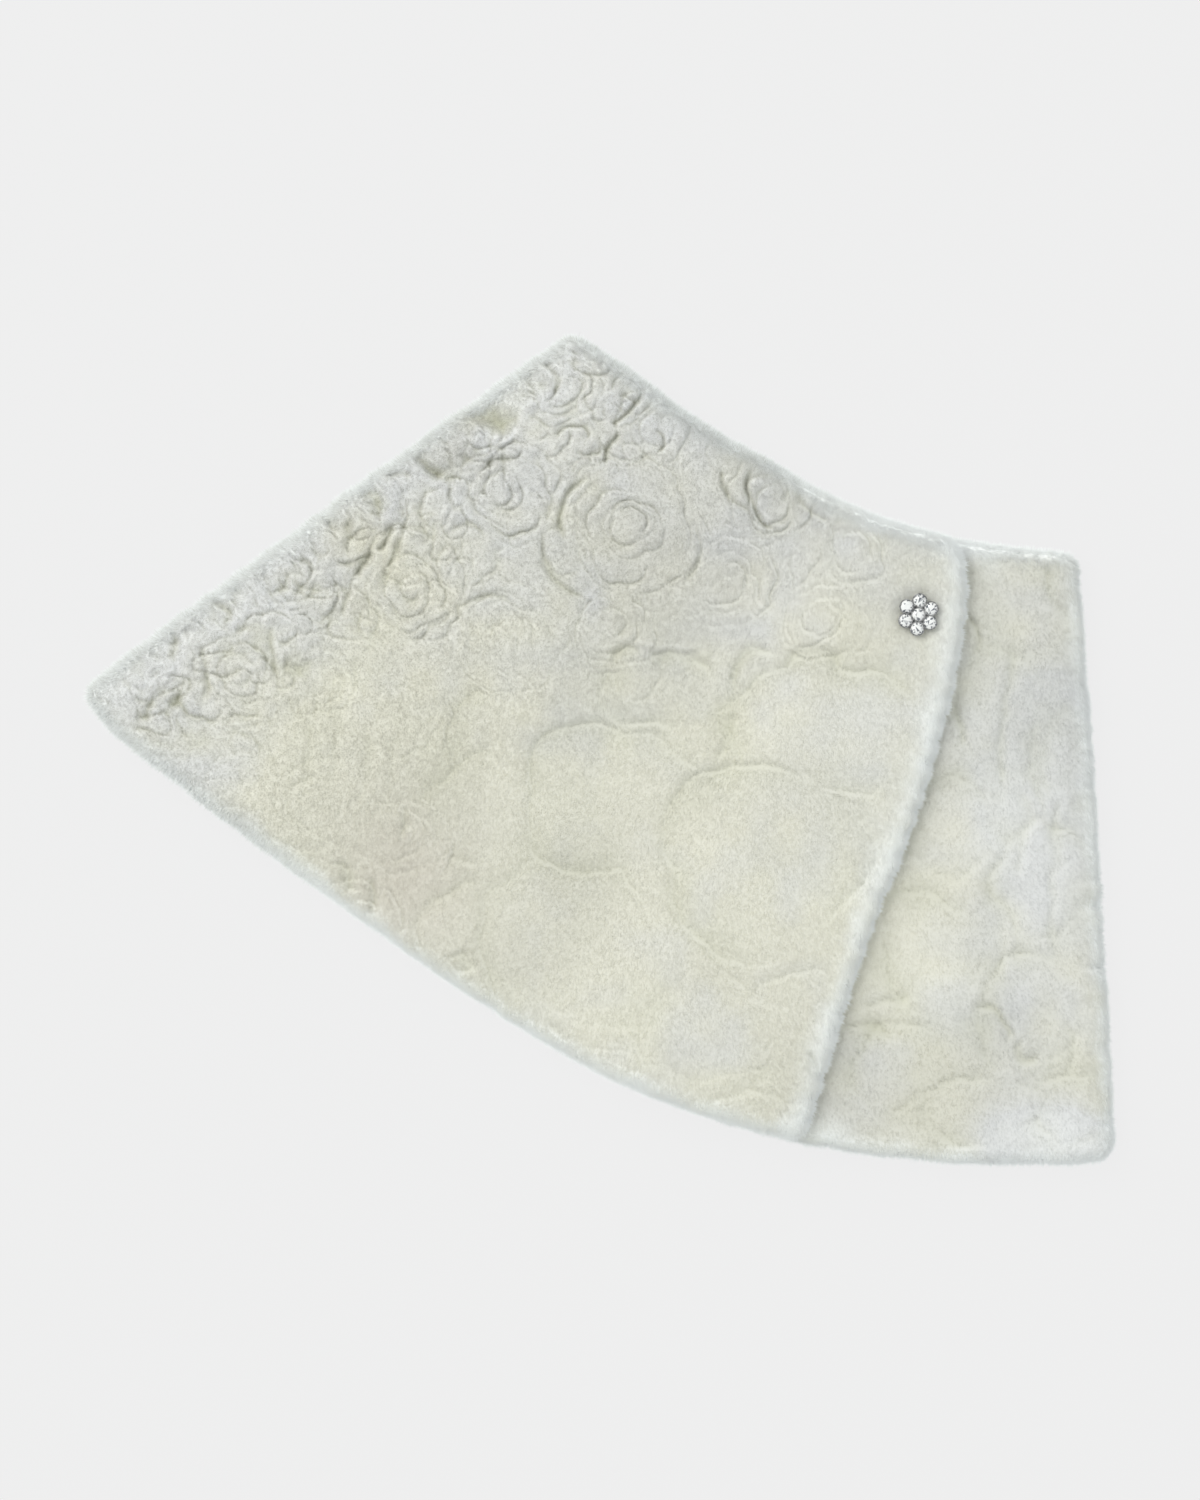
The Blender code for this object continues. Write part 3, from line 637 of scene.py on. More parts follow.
def tone_marks(mesh, x, y, depth, inward):
    """Marks where a panel is warm, has painted shade in patches and in its pressed-in relief, is thin
    and painted lighter at its edge, is faintly blushed, or grainy.
    """
    lower = sloping(x, y, LOWER_SLOPE) * sloping(x, y, LEFT_SLOPE)
    warmth = patchy(PLAIN_WARMTH + LOWER_WARMTH * lower, x, y, WARM_PATCHES)
    grain = LEAST_GRAIN + (1 - LEAST_GRAIN) * sloping(x, y, GRAIN_SLOPE)
    dimness = patchy(PLAIN_PAINTED_SHADE + SMOOTH_PAINTED_SHADE * (1 - grain), x, y, PAINTED_SHADE_PATCHES)
    for spot in SPOTS:
        reach = ((x - spot.x) / spot.width) ** 2 + ((y - spot.y) / spot.length) ** 2
        warmth += spot.warmth * np.exp(-SPOT_FALL * reach)
        dimness += spot.dimness * np.exp(-SPOT_FALL * reach)
    radius, bearing = about_apex(x, y)
    by_fold = 1 - smooth(np.radians(left_fold(radius) - bearing) * radius / BY_FOLD_WIDTH)
    from_front = np.abs(np.radians(bearing - front_edge(radius)) * radius)
    away = smooth((from_front - inward - FRONT_BAND_START) / FRONT_BAND_REACH)
    band = FRONT_BAND + (THIN_BAND - FRONT_BAND) * away
    band *= patchy(1, x, y, BAND_PATCHES)
    rim = np.exp(-inward / EDGE_BAND)
    edge = patchy(EDGE_THINNESS, x, y, EDGE_PATCHES) * (1 - smooth(inward / band))
    edge = np.maximum(edge, RIM_THINNESS * rim)
    dimness = PAINTED_SHADE_SCALE * (dimness + BY_FOLD_PAINTED_SHADE * by_fold)
    # painted shade from the relief's depth, lighter by the left fold
    hollow_shade = depth / FULL_HOLLOW_SHADE * (1 + BY_FOLD_HOLLOW_SHADE * by_fold)
    from_blush = (x - BLUSH_PLACE[0]) ** 2 + (y - BLUSH_PLACE[1]) ** 2
    mark(mesh, "dimness", np.clip(dimness, 0, 1) * (1 - edge))
    mark(mesh, "warmth", np.clip(warmth + BY_FOLD_WARMTH * by_fold, 0, 1))
    mark(mesh, "hollow_shade", np.clip(hollow_shade, 0, 1))
    mark(mesh, "edge", edge)
    mark(mesh, "blush", BLUSH * np.exp(-from_blush / 2 / BLUSH_SIZE**2))
    mark(mesh, "tip", np.ones(len(x)))
    mark(mesh, "rim", rim)
    mark(mesh, "grain", grain)


# Back
# The whole back, laid pile side down. Only its rim shows, rounded up at both folded sides and
# cut square at the neck and the hem, so the pile stands out from there.
BACK_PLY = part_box("back")[1].z / MM
BACK_CORNERS = (5.0, 6.0, 8.0, 8.0)
BACK_SPACING = 3.2
BACK_TUFTS = 40_000
BACK_SEED = 11
BACK_SHOWN = 4.0


def no_unevenness(station_u, station_v):
    """Insets of the back's left, right, neck and hem."""
    return (0.0, 0.0, 0.0, 0.0)


back_panel = Panel("back", left_fold, right_fold, True, True, BACK_CORNERS, BACK_SPACING)
back_mesh, x, y, share, on_top, inward = placed(back_panel, no_unevenness)
set_shape(back_mesh, x, y, BACK_PLY * (1 - share))
tone_marks(back_mesh, x, y, np.zeros(len(x)), inward)
back = add_piece("back_ground", back_mesh, ground_finish)
shown = on_top * np.exp(-inward / BACK_SHOWN)
back_pile = lay_pile("back_pile", back, BACK_TUFTS, shown, BACK_SEED)
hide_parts("back")

# Under front
# The lower front, cut from the same plush and joined to the back along the right fold. Its own
# edge lies hidden and pressed thin beneath the lap. It has broad petals between shallow grooves.
FRONT_PLY = 7.7
SEAM_GAP = 0.3
FRONT_GROUND = BACK_PLY + SEAM_GAP
LAP_CLEARANCE = 1.0
LAP_RISE_BEFORE = 22.0
LAP_RISE_AFTER = 40.0
TIP_ROOM = 0.6  # the ground lies this much lower than the pile's tips
LEAST_WALL = 1.6
LEAST_PLY = 0.3
RELIEF_FADE = 4.0
UNDER_CORNERS = (4.0, 6.0, 8.0, 4.0)
UNDER_SPACING = 1.6
UNDER_TUFTS = 150_000
UNDER_SEED = 27
HIDDEN_SHARE = 0.25  # tufts beneath the lap, against those in sight
SHOWN_LIFT = 7.0
SHOWN_STEP = 1.5
UNDER_EDGE_TUFTS = 2.0
UNDER_LUMPINESS = (Patches(0.5, 19.0, 25), Patches(0.25, 6.0, 26))
UNDER_FOLD_WAVER = (Patches(0.9, 7.0, 21), Patches(0.6, 3.0, 22))
UNDER_NECK_WAVER = (Patches(0.5, 5.0, 23),)
UNDER_HEM_WAVER = (Patches(0.8, 6.0, 24),)
Nick = namedtuple("Nick", "station width depth")
UNDER_NICKS = (Nick(168, 4.0, 2.2), Nick(196, 3.0, 1.8))
BEND_X = (Patches(2.4, 17.0, 61), Patches(1.1, 7.0, 62))
BEND_Y = (Patches(2.4, 17.0, 63), Patches(1.1, 7.0, 64))
SOFT_BEND = 1.3
Puff = namedtuple("Puff", "x y width length turn lobes depth")
UNDER_PUFFS = (
    Puff(204, -60, 38, 56, 0, 2, 1.5),
    Puff(184, 22, 40, 52, -5, 3, 1.0),
    Puff(188, 70, 44, 34, 0, 2, 0.8),
    Puff(160, -34, 40, 50, 20, 2, 1.4),
    Puff(152, -92, 48, 56, 15, 3, 1.4),
    Puff(196, -120, 46, 50, -20, 3, 1.6),
    Puff(136, -146, 42, 40, 30, 2, 1.4),
    Puff(176, -164, 50, 34, 5, 2, 1.2),
    Puff(216, -4, 24, 50, 0, 2, 1.0),
    Puff(216, -164, 34, 36, 10, 2, 1.2),
    Puff(168, 32, 22, 42, 10, 2, 1.0),
)
PUFF_SHOULDER = 4.5
PUFF_SKIRT = 3.6
PUFF_DEEP_SIDE = math.radians(150.0)
PUFF_EVENNESS = 0.62
PUFF_UNEVENNESS = 0.3
LEAST_PRESS = 0.08
LOBE_SHARE = 0.09
PUFF_RIPPLE = 0.03
PUFF_CRINKLE = 0.02
CREASE_END = 0.12
Crease = namedtuple("Crease", "x0 y0 x1 y1 bow width depth")
UNDER_CREASES = (
    Crease(186, -78, 190, -104, 1, 4.0, -0.8),
    Crease(192, -20, 194, -58, 2, 5.5, 0.7),
    Crease(212, -24, 211, -96, -3, 5.5, 0.8),
    Crease(176, -118, 186, -132, 3, 5.0, 1.8),
    Crease(190, -132, 200, -140, -3, 5.0, 1.6),
    Crease(166, 62, 174, 48, 2, 5.0, 1.3),
    Crease(112, -126, 130, -134, 3, 4.5, 1.2),
    Crease(120, -116, 140, -112, -4, 4.5, 1.1),
    Crease(190, 46, 184, -14, -2, 4.5, 0.9),
    Crease(200, 10, 202, -30, -2, 5.0, 0.6),
    Crease(157, 20, 165, 4, 5, 5.0, 1.2),
    Crease(206, 90, 214, 60, -2, 5.0, 0.9),
    Crease(212, -128, 218, -146, 2, 5.0, 0.9),
)


def lap_lift(x, y):
    """How far the lap of the under front lifts the upper front, in millimetres."""
    radius, bearing = about_apex(x, y)
    beyond = radius * np.sin(np.radians(HIDDEN_EDGE - bearing))
    climb = smooth((beyond + LAP_RISE_BEFORE) / (LAP_RISE_BEFORE + LAP_RISE_AFTER))
    return (FRONT_PLY + LAP_CLEARANCE) * climb


def turned(x, y, form):
    """Plan distances from a form's middle, along its own axes."""
    turn = math.radians(form.turn)
    dx, dy = x - form.x, y - form.y
    return dx * math.cos(turn) + dy * math.sin(turn), dy * math.cos(turn) - dx * math.sin(turn)


def bent(x, y, strength):
    """Plan places shifted softly to and fro, so that no form drawn at them is quite regular."""
    shift_x, shift_y = patchy(0, x, y, BEND_X), patchy(0, x, y, BEND_Y)
    return x + strength * shift_x, y + strength * shift_y


def puff_depth(x, y, puff):
    """Depth of the pile round one broad petal, and where the petal covers what lies under it."""
    across, along = turned(x, y, puff)
    angle = np.arctan2(along / puff.length, across / puff.width)
    wave = 1 + LOBE_SHARE * np.cos(puff.lobes * angle)
    wave += PUFF_RIPPLE * np.cos(5 * angle + puff.x) + PUFF_CRINKLE * np.cos(9 * angle + puff.y)
    share = np.hypot(across / (puff.width / 2), along / (puff.length / 2)) / wave
    outside = (share - 1) * min(puff.width, puff.length) / 2
    inner = np.clip(share, 0, 1) ** PUFF_SHOULDER
    facing = np.arctan2(y - puff.y, x - puff.x)
    pressed = PUFF_EVENNESS + (1 - PUFF_EVENNESS) * np.cos(facing - PUFF_DEEP_SIDE)
    pressed += PUFF_UNEVENNESS * np.cos(3 * facing + puff.x)
    outline = np.where(share < 1, inner, np.exp(-np.maximum(outside, 0) / PUFF_SKIRT))
    return puff.depth * np.clip(pressed, LEAST_PRESS, 1) * outline, share < 1


def crease_depth(x, y, crease):
    """Depth of a bowed crease, deepest in its middle. A ridge has a depth below nothing."""
    start, end = np.array((crease.x0, crease.y0)), np.array((crease.x1, crease.y1))
    run = end - start
    length = math.hypot(*run)
    ahead = run / length
    along = ((x - start[0]) * ahead[0] + (y - start[1]) * ahead[1]) / length
    aside = (y - start[1]) * ahead[0] - (x - start[0]) * ahead[1]
    aside = aside - crease.bow * 4 * along * (1 - along)
    start_share = smooth((along + CREASE_END) / (2 * CREASE_END))
    end_share = smooth((1 + CREASE_END - along) / (2 * CREASE_END))
    return crease.depth * start_share * end_share * np.exp(-((aside / crease.width * 2) ** 2))


def soft_emboss(x, y, puffs, creases):
    """Relief of the puffs and creases, with the puffs that come first on top."""
    depth = np.zeros_like(x)
    free = np.ones(len(x), bool)
    x, y = bent(x, y, SOFT_BEND)
    for puff in puffs:
        groove, covered = puff_depth(x, y, puff)
        depth = np.where(free, np.maximum(depth, groove), depth)
        free &= ~covered
    for crease in creases:
        depth = depth + crease_depth(x, y, crease)
    return depth


def under_unevenness(station_u, station_v):
    """Insets of the under front's hidden edge, fold, neck and hem."""
    fold = wavering(0, station_v, UNDER_FOLD_WAVER)
    for nick in UNDER_NICKS:
        fold += nick.depth * np.exp(-(((station_v - nick.station) / nick.width) ** 2))
    neck = wavering(0, station_u, UNDER_NECK_WAVER)
    return (0.0, fold, neck, wavering(0, station_u, UNDER_HEM_WAVER))


under_panel = Panel(
    "under_front", hidden_edge, right_fold, False, True, UNDER_CORNERS, UNDER_SPACING
)
under_mesh, x, y, share, on_top, inward = placed(under_panel, under_unevenness)
depth = patchy(soft_emboss(x, y, UNDER_PUFFS, UNDER_CREASES), x, y, UNDER_LUMPINESS)
depth *= np.clip(inward / RELIEF_FADE, 0, 1) * on_top
lift = lap_lift(x, y)
wall = np.maximum(lift - LAP_CLEARANCE - TIP_ROOM, LEAST_PLY)
height = np.maximum(wall * share - depth, np.minimum(wall * share, LEAST_WALL))
set_shape(under_mesh, x, y, FRONT_GROUND + height)
tone_marks(under_mesh, x, y, depth, inward)
under_front = add_piece("under_front_ground", under_mesh, ground_finish)
shown = on_top * (HIDDEN_SHARE + smooth((lift - SHOWN_LIFT) / SHOWN_STEP))
shown *= 1 + UNDER_EDGE_TUFTS * np.exp(-inward / EDGE_BAND)
under_pile = lay_pile("under_front_pile", under_front, UNDER_TUFTS, shown, UNDER_SEED)
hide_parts("under_front")

# Upper front
# The front on top, cut from the same plush and joined to the back along the left fold. It climbs
# over the lap and ends in its free edge. Its roses are pressed sharpest at the upper left.
UPPER_CORNERS = (5.0, 11.0, 8.0, 8.0)
UPPER_SPACING = 1.04
UPPER_TUFTS = 170_000
UPPER_PILES = 3
UPPER_SEED = 41
UPPER_EDGE_TUFTS = 1.6
UPPER_FOLD_WAVER = (Patches(1.3, 9.0, 34), Patches(0.8, 4.0, 35))
FOLD_SWELL = 0.6
SCALLOP_DEPTH = 1.1
SCALLOP_LENGTH = 11.0
FRONT_EDGE_WAVER = (Patches(0.7, 5.0, 36),)
UPPER_NECK_WAVER = (Patches(0.6, 6.0, 37),)
UPPER_HEM_WAVER = (Patches(0.8, 6.0, 38),)
UPPER_HEM_INSET = 0.8
UPPER_LUMPINESS = (Patches(0.5, 31.0, 31), Patches(0.12, 6.0, 32))
ROUGH_LUMPINESS = (Patches(0.45, 6.0, 32), Patches(0.6, 11.0, 39), Patches(0.4, 2.8, 33))
ROUGH_SLOPE = Slope(-0.75, 1, 90, 90)
Rose = namedtuple("Rose", "x y radius squeeze turn depth")
UPPER_ROSES = (
    Rose(-86, 76, 31, 0.92, 20, 2.0),
    Rose(14, 103, 33, 1.00, 190, 1.9),
    Rose(-46, 119, 27, 0.88, 80, 2.2),
    Rose(-168, 35, 26, 0.80, 40, 1.8),
    Rose(-141, 80, 25, 0.80, 35, 1.4),
    Rose(57, 76, 26, 0.95, 260, 1.0),
    Rose(-42, 50, 27, 0.92, 130, 1.0),
    Rose(27, 147, 24, 0.95, 300, 1.6),
    Rose(-17, 166, 21, 0.85, 100, 1.6),
    Rose(-68, 149, 20, 0.75, 30, 1.2),
    Rose(-105, 117, 22, 0.75, 35, 1.4),
    Rose(80, 116, 22, 0.90, 150, 1.6),
    Rose(118, 92, 20, 0.90, 60, 0.8),
    Rose(-207, 38, 17, 0.80, 60, 1.7),
    Rose(-128, 30, 25, 0.90, 10, 0.7),
    Rose(-92, 14, 24, 0.95, 210, 0.6),
    Rose(-172, -12, 23, 0.90, 330, 0.7),
    Rose(-132, -24, 24, 0.95, 90, 0.6),
    Rose(-90, -42, 22, 0.95, 160, 0.6),
    Rose(-108, -74, 20, 0.95, 20, 0.8),
    Rose(6, 56, 22, 0.90, 45, 1.0),
    Rose(101, 60, 20, 0.90, 310, 0.9),
)
ROSE_BEND = 1.0
ROSE_BORDER = 5.0
PETAL_STEP = 6.9
BUD_WINDINGS = 0.45
BUD_PETALS = 2.0
MORE_PETALS = 0.8  # more of them in each winding outwards
PETAL_LAP = 1.30
PETAL_TURN = 0.4
PETAL_STRAY = 0.30
PETAL_WIDTHS = (0.75, 1.2)
PETAL_PRESSES = (0.15, 1.0)
PETAL_EVENNESS = 0.8
PETAL_CURL = 0.17
PETAL_CURLS = (0.2, 1.8)
PETAL_SHIFT = 0.9
LIP_REACH = 1.05
LIP_WALL = 1.1
LIP_RUNOUT = 1.1
LIP_CREST = 0.13
CREST_PLACE = 2.2
CREST_SPREAD = 5.0
LIP_NOTCH = 1.3
NOTCH_WIDTH = 0.22
NOTCH_SIZE = 12.0
NOTCH_LIMIT = 1.4
SCRAPS = 330
SCRAP_SEED = 51
SCRAP_X = (-225, 130)
SCRAP_Y = (-20, 190)
SCRAP_SIZES = (6, 15)
SCRAP_SPANS = (0.5, 1.3)
SCRAP_PRESSES = (0.8, 2.8)
SCRAP_ROOM = 12.0
SCRAP_CURL = 0.2
LEAST_SCRAP = 0.3
SCRAP_SLOPE = Slope(-0.75, 1, 70, 110)
SCRAP_LOWER_SLOPE = Slope(-0.1, 1, 5, 45)
LEAST_SCRAP_STRENGTH = 0.25
SCRAP_ON_ROSE = 0.3
SCRAP_ON_ROUGH = 0.5
UPPER_PUFFS = (
    Puff(76, -50, 94, 88, 10, 3, 1.7),
    Puff(104, 10, 88, 66, -8, 2, 1.5),
    Puff(6, -22, 84, 68, 0, 3, 1.7),
    Puff(-10, -90, 96, 78, -25, 3, 1.2),
    Puff(-56, -28, 46, 52, 20, 2, 1.1),
    Puff(-44, 10, 54, 40, 15, 3, 1.1),
    Puff(32, 28, 60, 34, 5, 2, 1.3),
    Puff(48, -124, 66, 52, -20, 3, 0.8),
    Puff(90, -128, 46, 60, 10, 2, 0.9),
    Puff(-62, -84, 42, 46, 30, 2, 1.2),
    Puff(16, -152, 44, 30, -25, 2, 0.8),
    Puff(74, -168, 48, 26, -10, 2, 0.8),
)
UPPER_CREASES = (
    Crease(-64, 158, -41, 148, 2, 13.0, 4.4),
    Crease(-54, 131, -36, 142, 2, 3.0, 1.9),
    Crease(-12, 190, -13, 176, 1, 2.5, 2.6),
    Crease(-24, 178, -20, 166, 1, 2.2, 2.0),
    Crease(-34, 172, -30, 162, -1, 2.2, 2.0),
    Crease(20, 165, 7, 150, 2, 2.4, 2.2),
    Crease(10, 146, 3, 132, -1, 2.4, 2.6),
    Crease(25, 137, 25, 147, -3, 2.2, 1.8),
    Crease(-6, 124, -18, 100, -5, 3.0, 2.1),
    Crease(-27, 98, -8, 70, -6, 3.0, 1.7),
    Crease(43, 104, 41, 80, 2, 2.6, 1.2),
    Crease(70, 127, 80, 103, -5, 3.0, 1.8),
    Crease(5, 41, 16, 44, 2, 6.0, 1.2),
    Crease(26, 39, 49, 36, 3, 6.5, 1.2),
    Crease(59, 30, 78, 47, 6, 6.0, 1.4),
    Crease(87, 42, 111, 40, 3, 6.5, 1.1),
    Crease(59, 16, 56, -4, 1, 6.0, 1.0),
    Crease(0, 53, 45, 45, -3, 2.6, -0.8),
    Crease(-10, 71, 4, 69, 0, 2.2, -0.8),
    Crease(-116, 121, -100, 112, 2, 6.0, 3.8),
    Crease(-130, 110, -122, 104, 1, 6.0, 3.6),
    Crease(-103, 93, -95, 102, -1, 3.2, 2.4),
    Crease(-111, 80, -106, 91, 1, 3.6, 2.2),
    Crease(-118, 63, -114, 72, 1, 3.4, 2.0),
    Crease(-197, 56, -196, 40, 2, 4.4, 3.0),
    Crease(-208, 15, -203, 24, 1, 3.2, 1.8),
    Crease(-144, 39, -133, 38, -1, 7.0, 1.6),
    Crease(-180, 70, -170, 62, 1, 4.4, 2.8),
    Crease(-156, 91, -165, 81, 1, 3.8, 2.8),
    Crease(-84, 138, -74, 128, -2, 5.0, 3.4),
    Crease(-148, 104, -138, 98, 1, 4.6, 3.2),
    Crease(-98, 124, -88, 126, 1, 4.0, 2.8),
    Crease(-184, 48, -182, 22, 2, 3.0, 1.6),
    Crease(-150, 56, -148, 36, -2, 3.0, 1.4),
    Crease(-135, 12, -137, -16, 1, 6.0, 0.7),
    Crease(-120, 16, -123, -14, -1, 6.0, 0.6),
    Crease(-106, 10, -110, -26, 1, 6.5, 0.7),
    Crease(-94, 6, -97, -30, -1, 6.0, 0.5),
    Crease(-119, -50, -114, -64, 2, 4.6, 1.5),
    Crease(-105, -58, -105, -78, 1, 4.0, 1.3),
    Crease(-90, -26, -90, -40, 0, 3.8, 1.1),
    Crease(-66, -93, -62, -103, 1, 7.0, 1.4),
    Crease(-24, -126, -16, -134, 0, 6.0, 1.0),
    Crease(-64, 66, -40, 70, 2, 3.0, 1.6),
    Crease(-62, 68, -64, 40, 0, 2.4, -0.8),
    Crease(-70, 100, -52, 98, 3, 3.2, 1.8),
    Crease(96, -140, 100, -152, 0, 3.0, 1.6),
    Crease(55, 128, 66, 110, -2, 2.8, 1.6),
    Crease(92, 122, 104, 106, -3, 2.8, 1.4),
)
Lump = namedtuple("Lump", "x y width height")
UPPER_LUMPS = (
    Lump(-56, 147, 7, 2.2),
    Lump(-45, 142, 8, 2.3),
    Lump(-50, 136, 6, 1.6),
    Lump(-120, 112, 9, 1.4),
    Lump(-96, 122, 9, 1.2),
    Lump(-142, 92, 9, 1.2),
    Lump(-188, 60, 8, 1.2),
    Lump(-160, 80, 8, 1.1),
)
CRACK_DEPTH = 1.7
CRACK_SHARPNESS = 0.11
CRACK_SIZE = 9.0
CRACK_SEED = 40
CRACKED_PLACES = (Patches(1.6, 12.0, 42),)
BUTTON_PLACE = sum(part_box("button_setting"), Vector()) / 2
DIMPLE_RADIUS = 11.5
DIMPLE_DEPTH = 2.6


def petal_depth(reach, angle, lip, middle, half, curl, depth):
    """Depth of the groove outside one petal's lip: a steep wall under it, then a slow rise."""
    off = (angle - middle + math.pi) % math.tau - math.pi
    place = np.clip(np.abs(off) / half, 0, 1)
    notch = LIP_NOTCH * np.exp(-((off / half / NOTCH_WIDTH) ** 2))
    notch *= min(lip / NOTCH_SIZE, NOTCH_LIMIT)
    outside = reach - lip * (LIP_REACH - curl * place**2) + notch
    wall = smooth(outside / LIP_WALL)
    runout = np.exp(-np.maximum(outside - LIP_WALL, 0) / LIP_RUNOUT)
    crest = LIP_CREST * np.exp(-((outside + CREST_PLACE) ** 2) / CREST_SPREAD)
    return depth * (1 - place**3) * (wall * runout - crest)


def deepest(first, second):
    """The stronger of two reliefs, whether groove or crest."""
    return np.where(np.abs(second) > np.abs(first), second, first)


def rose_depth(x, y, rose):
    """Relief of a rose: petals wound outwards from the bud, some pressed deeper than others."""
    across, along = turned(x, y, rose)
    across = across / rose.squeeze
    rng = np.random.default_rng(int(rose.x * 7 + rose.y * 13) % 9973)
    depth = np.zeros_like(x)
    windings = rose.radius / PETAL_STEP
    t = BUD_WINDINGS
    while t < windings:
        span = 1 / (BUD_PETALS + MORE_PETALS * t)
        middle = (t + span / 2) * math.tau + rng.uniform(-PETAL_TURN, PETAL_TURN)
        lip = (t + span / 2 + rng.uniform(-PETAL_STRAY, PETAL_STRAY)) * PETAL_STEP
        half = math.pi * span * PETAL_LAP * rng.uniform(*PETAL_WIDTHS)
        pressed = rose.depth * rng.uniform(*PETAL_PRESSES) ** PETAL_EVENNESS
        curl = PETAL_CURL * rng.uniform(*PETAL_CURLS)
        shift = rng.normal(0, PETAL_SHIFT, 2) * t
        reach = np.hypot(across - shift[0], along - shift[1])
        angle = np.arctan2(along - shift[1], across - shift[0])
        depth = deepest(depth, petal_depth(reach, angle, lip, middle, half, curl, pressed))
        t += span
    from_bud = np.hypot(across, along)
    return depth * (1 - smooth((from_bud - rose.radius) / ROSE_BORDER)), from_bud < rose.radius


def scrap_strength(x, y):
    strength = LEAST_SCRAP_STRENGTH + (1 - LEAST_SCRAP_STRENGTH) * sloping(x, y, SCRAP_SLOPE)
    return float(strength * sloping(x, y, SCRAP_LOWER_SLOPE))


def scrap_depth(x, y):
    """Single petals that fill the ground between the roses, thickest towards the left fold."""
    rng = np.random.default_rng(SCRAP_SEED)
    depth = np.zeros_like(x)
    for _ in range(SCRAPS):
        middle_x, middle_y = rng.uniform(*SCRAP_X), rng.uniform(*SCRAP_Y)
        size, turn = rng.uniform(*SCRAP_SIZES), rng.uniform(0, math.tau)
        half, pressed = rng.uniform(*SCRAP_SPANS), rng.uniform(*SCRAP_PRESSES)
        pressed *= scrap_strength(middle_x, middle_y)
        near = np.hypot(x - middle_x, y - middle_y) < size + SCRAP_ROOM
        if pressed < LEAST_SCRAP or not near.any():
            continue
        dx, dy = x[near] - middle_x, y[near] - middle_y
        reach, angle = np.hypot(dx, dy), np.arctan2(dy, dx)
        petal = petal_depth(reach, angle, size, turn, half, SCRAP_CURL, pressed)
        depth[near] = deepest(depth[near], petal)
    return depth


def upper_relief(x, y):
    """Relief of the whole upper front, as depth below the pile's plain height."""
    depth = np.zeros_like(x)
    free = np.ones(len(x), bool)
    bent_x, bent_y = bent(x, y, ROSE_BEND)
    for rose in UPPER_ROSES:
        grooves, covered = rose_depth(bent_x, bent_y, rose)
        depth = np.where(free, np.where(covered, grooves, deepest(depth, grooves)), depth)
        free &= ~covered
    soft = soft_emboss(x, y, UPPER_PUFFS, ())
    depth = np.where(free, deepest(depth, soft), depth)
    rough = sloping(x, y, ROUGH_SLOPE)
    scraps = scrap_depth(bent_x, bent_y)
    over_rose = depth + (SCRAP_ON_ROSE + SCRAP_ON_ROUGH * rough) * scraps
    depth = np.where(free, deepest(depth, scraps), over_rose)
    for crease in UPPER_CREASES:
        depth = depth + crease_depth(bent_x, bent_y, crease)
    for lump in UPPER_LUMPS:
        near = ((x - lump.x) ** 2 + (y - lump.y) ** 2) / (lump.width / 2) ** 2
        depth = depth - lump.height * np.exp(-near)
    crack = np.exp(-((mottle(bent_x, bent_y, CRACK_SIZE, CRACK_SEED) / CRACK_SHARPNESS) ** 2))
    crack *= smooth(patchy(0.5, x, y, CRACKED_PLACES))
    depth = patchy(depth + CRACK_DEPTH * rough * crack, x, y, UPPER_LUMPINESS)
    return depth + rough * patchy(0, x, y, ROUGH_LUMPINESS)


def upper_unevenness(station_u, station_v):
    """Insets of the upper front's fold, scalloped front edge, neck and hem."""
    fold = np.maximum(wavering(0, station_v, UPPER_FOLD_WAVER), -FOLD_SWELL)
    scallops = SCALLOP_DEPTH * np.abs(np.sin(math.pi * station_v / SCALLOP_LENGTH))
    front = wavering(scallops, station_v, FRONT_EDGE_WAVER)
    neck = wavering(0, station_u, UPPER_NECK_WAVER)
    return (fold, front, neck, wavering(UPPER_HEM_INSET, station_u, UPPER_HEM_WAVER))


upper_panel = Panel(
    "upper_front", left_fold, front_edge, True, False, UPPER_CORNERS, UPPER_SPACING
)
upper_mesh, x, y, share, on_top, inward = placed(upper_panel, upper_unevenness)
depth = upper_relief(x, y)
depth *= np.clip(inward / RELIEF_FADE, 0, 1) * on_top
from_button = np.hypot(x - BUTTON_PLACE.x / MM, y - BUTTON_PLACE.y / MM)
dimple = DIMPLE_DEPTH * np.exp(-((from_button / DIMPLE_RADIUS) ** 4)) * on_top
wall = FRONT_PLY - TIP_ROOM
height = np.maximum(wall * share - depth - dimple, np.minimum(wall * share, LEAST_WALL))
set_shape(upper_mesh, x, y, FRONT_GROUND + lap_lift(x, y) + height)
tone_marks(upper_mesh, x, y, depth, inward)
upper_front = add_piece("upper_front_ground", upper_mesh, ground_finish)
shown = on_top * (1 + UPPER_EDGE_TUFTS * np.exp(-inward / EDGE_BAND))
upper_piles = [
    lay_pile(f"upper_front_pile_{i}", upper_front, UPPER_TUFTS, shown, UPPER_SEED + i)
    for i in range(UPPER_PILES)
]
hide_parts("upper_front")

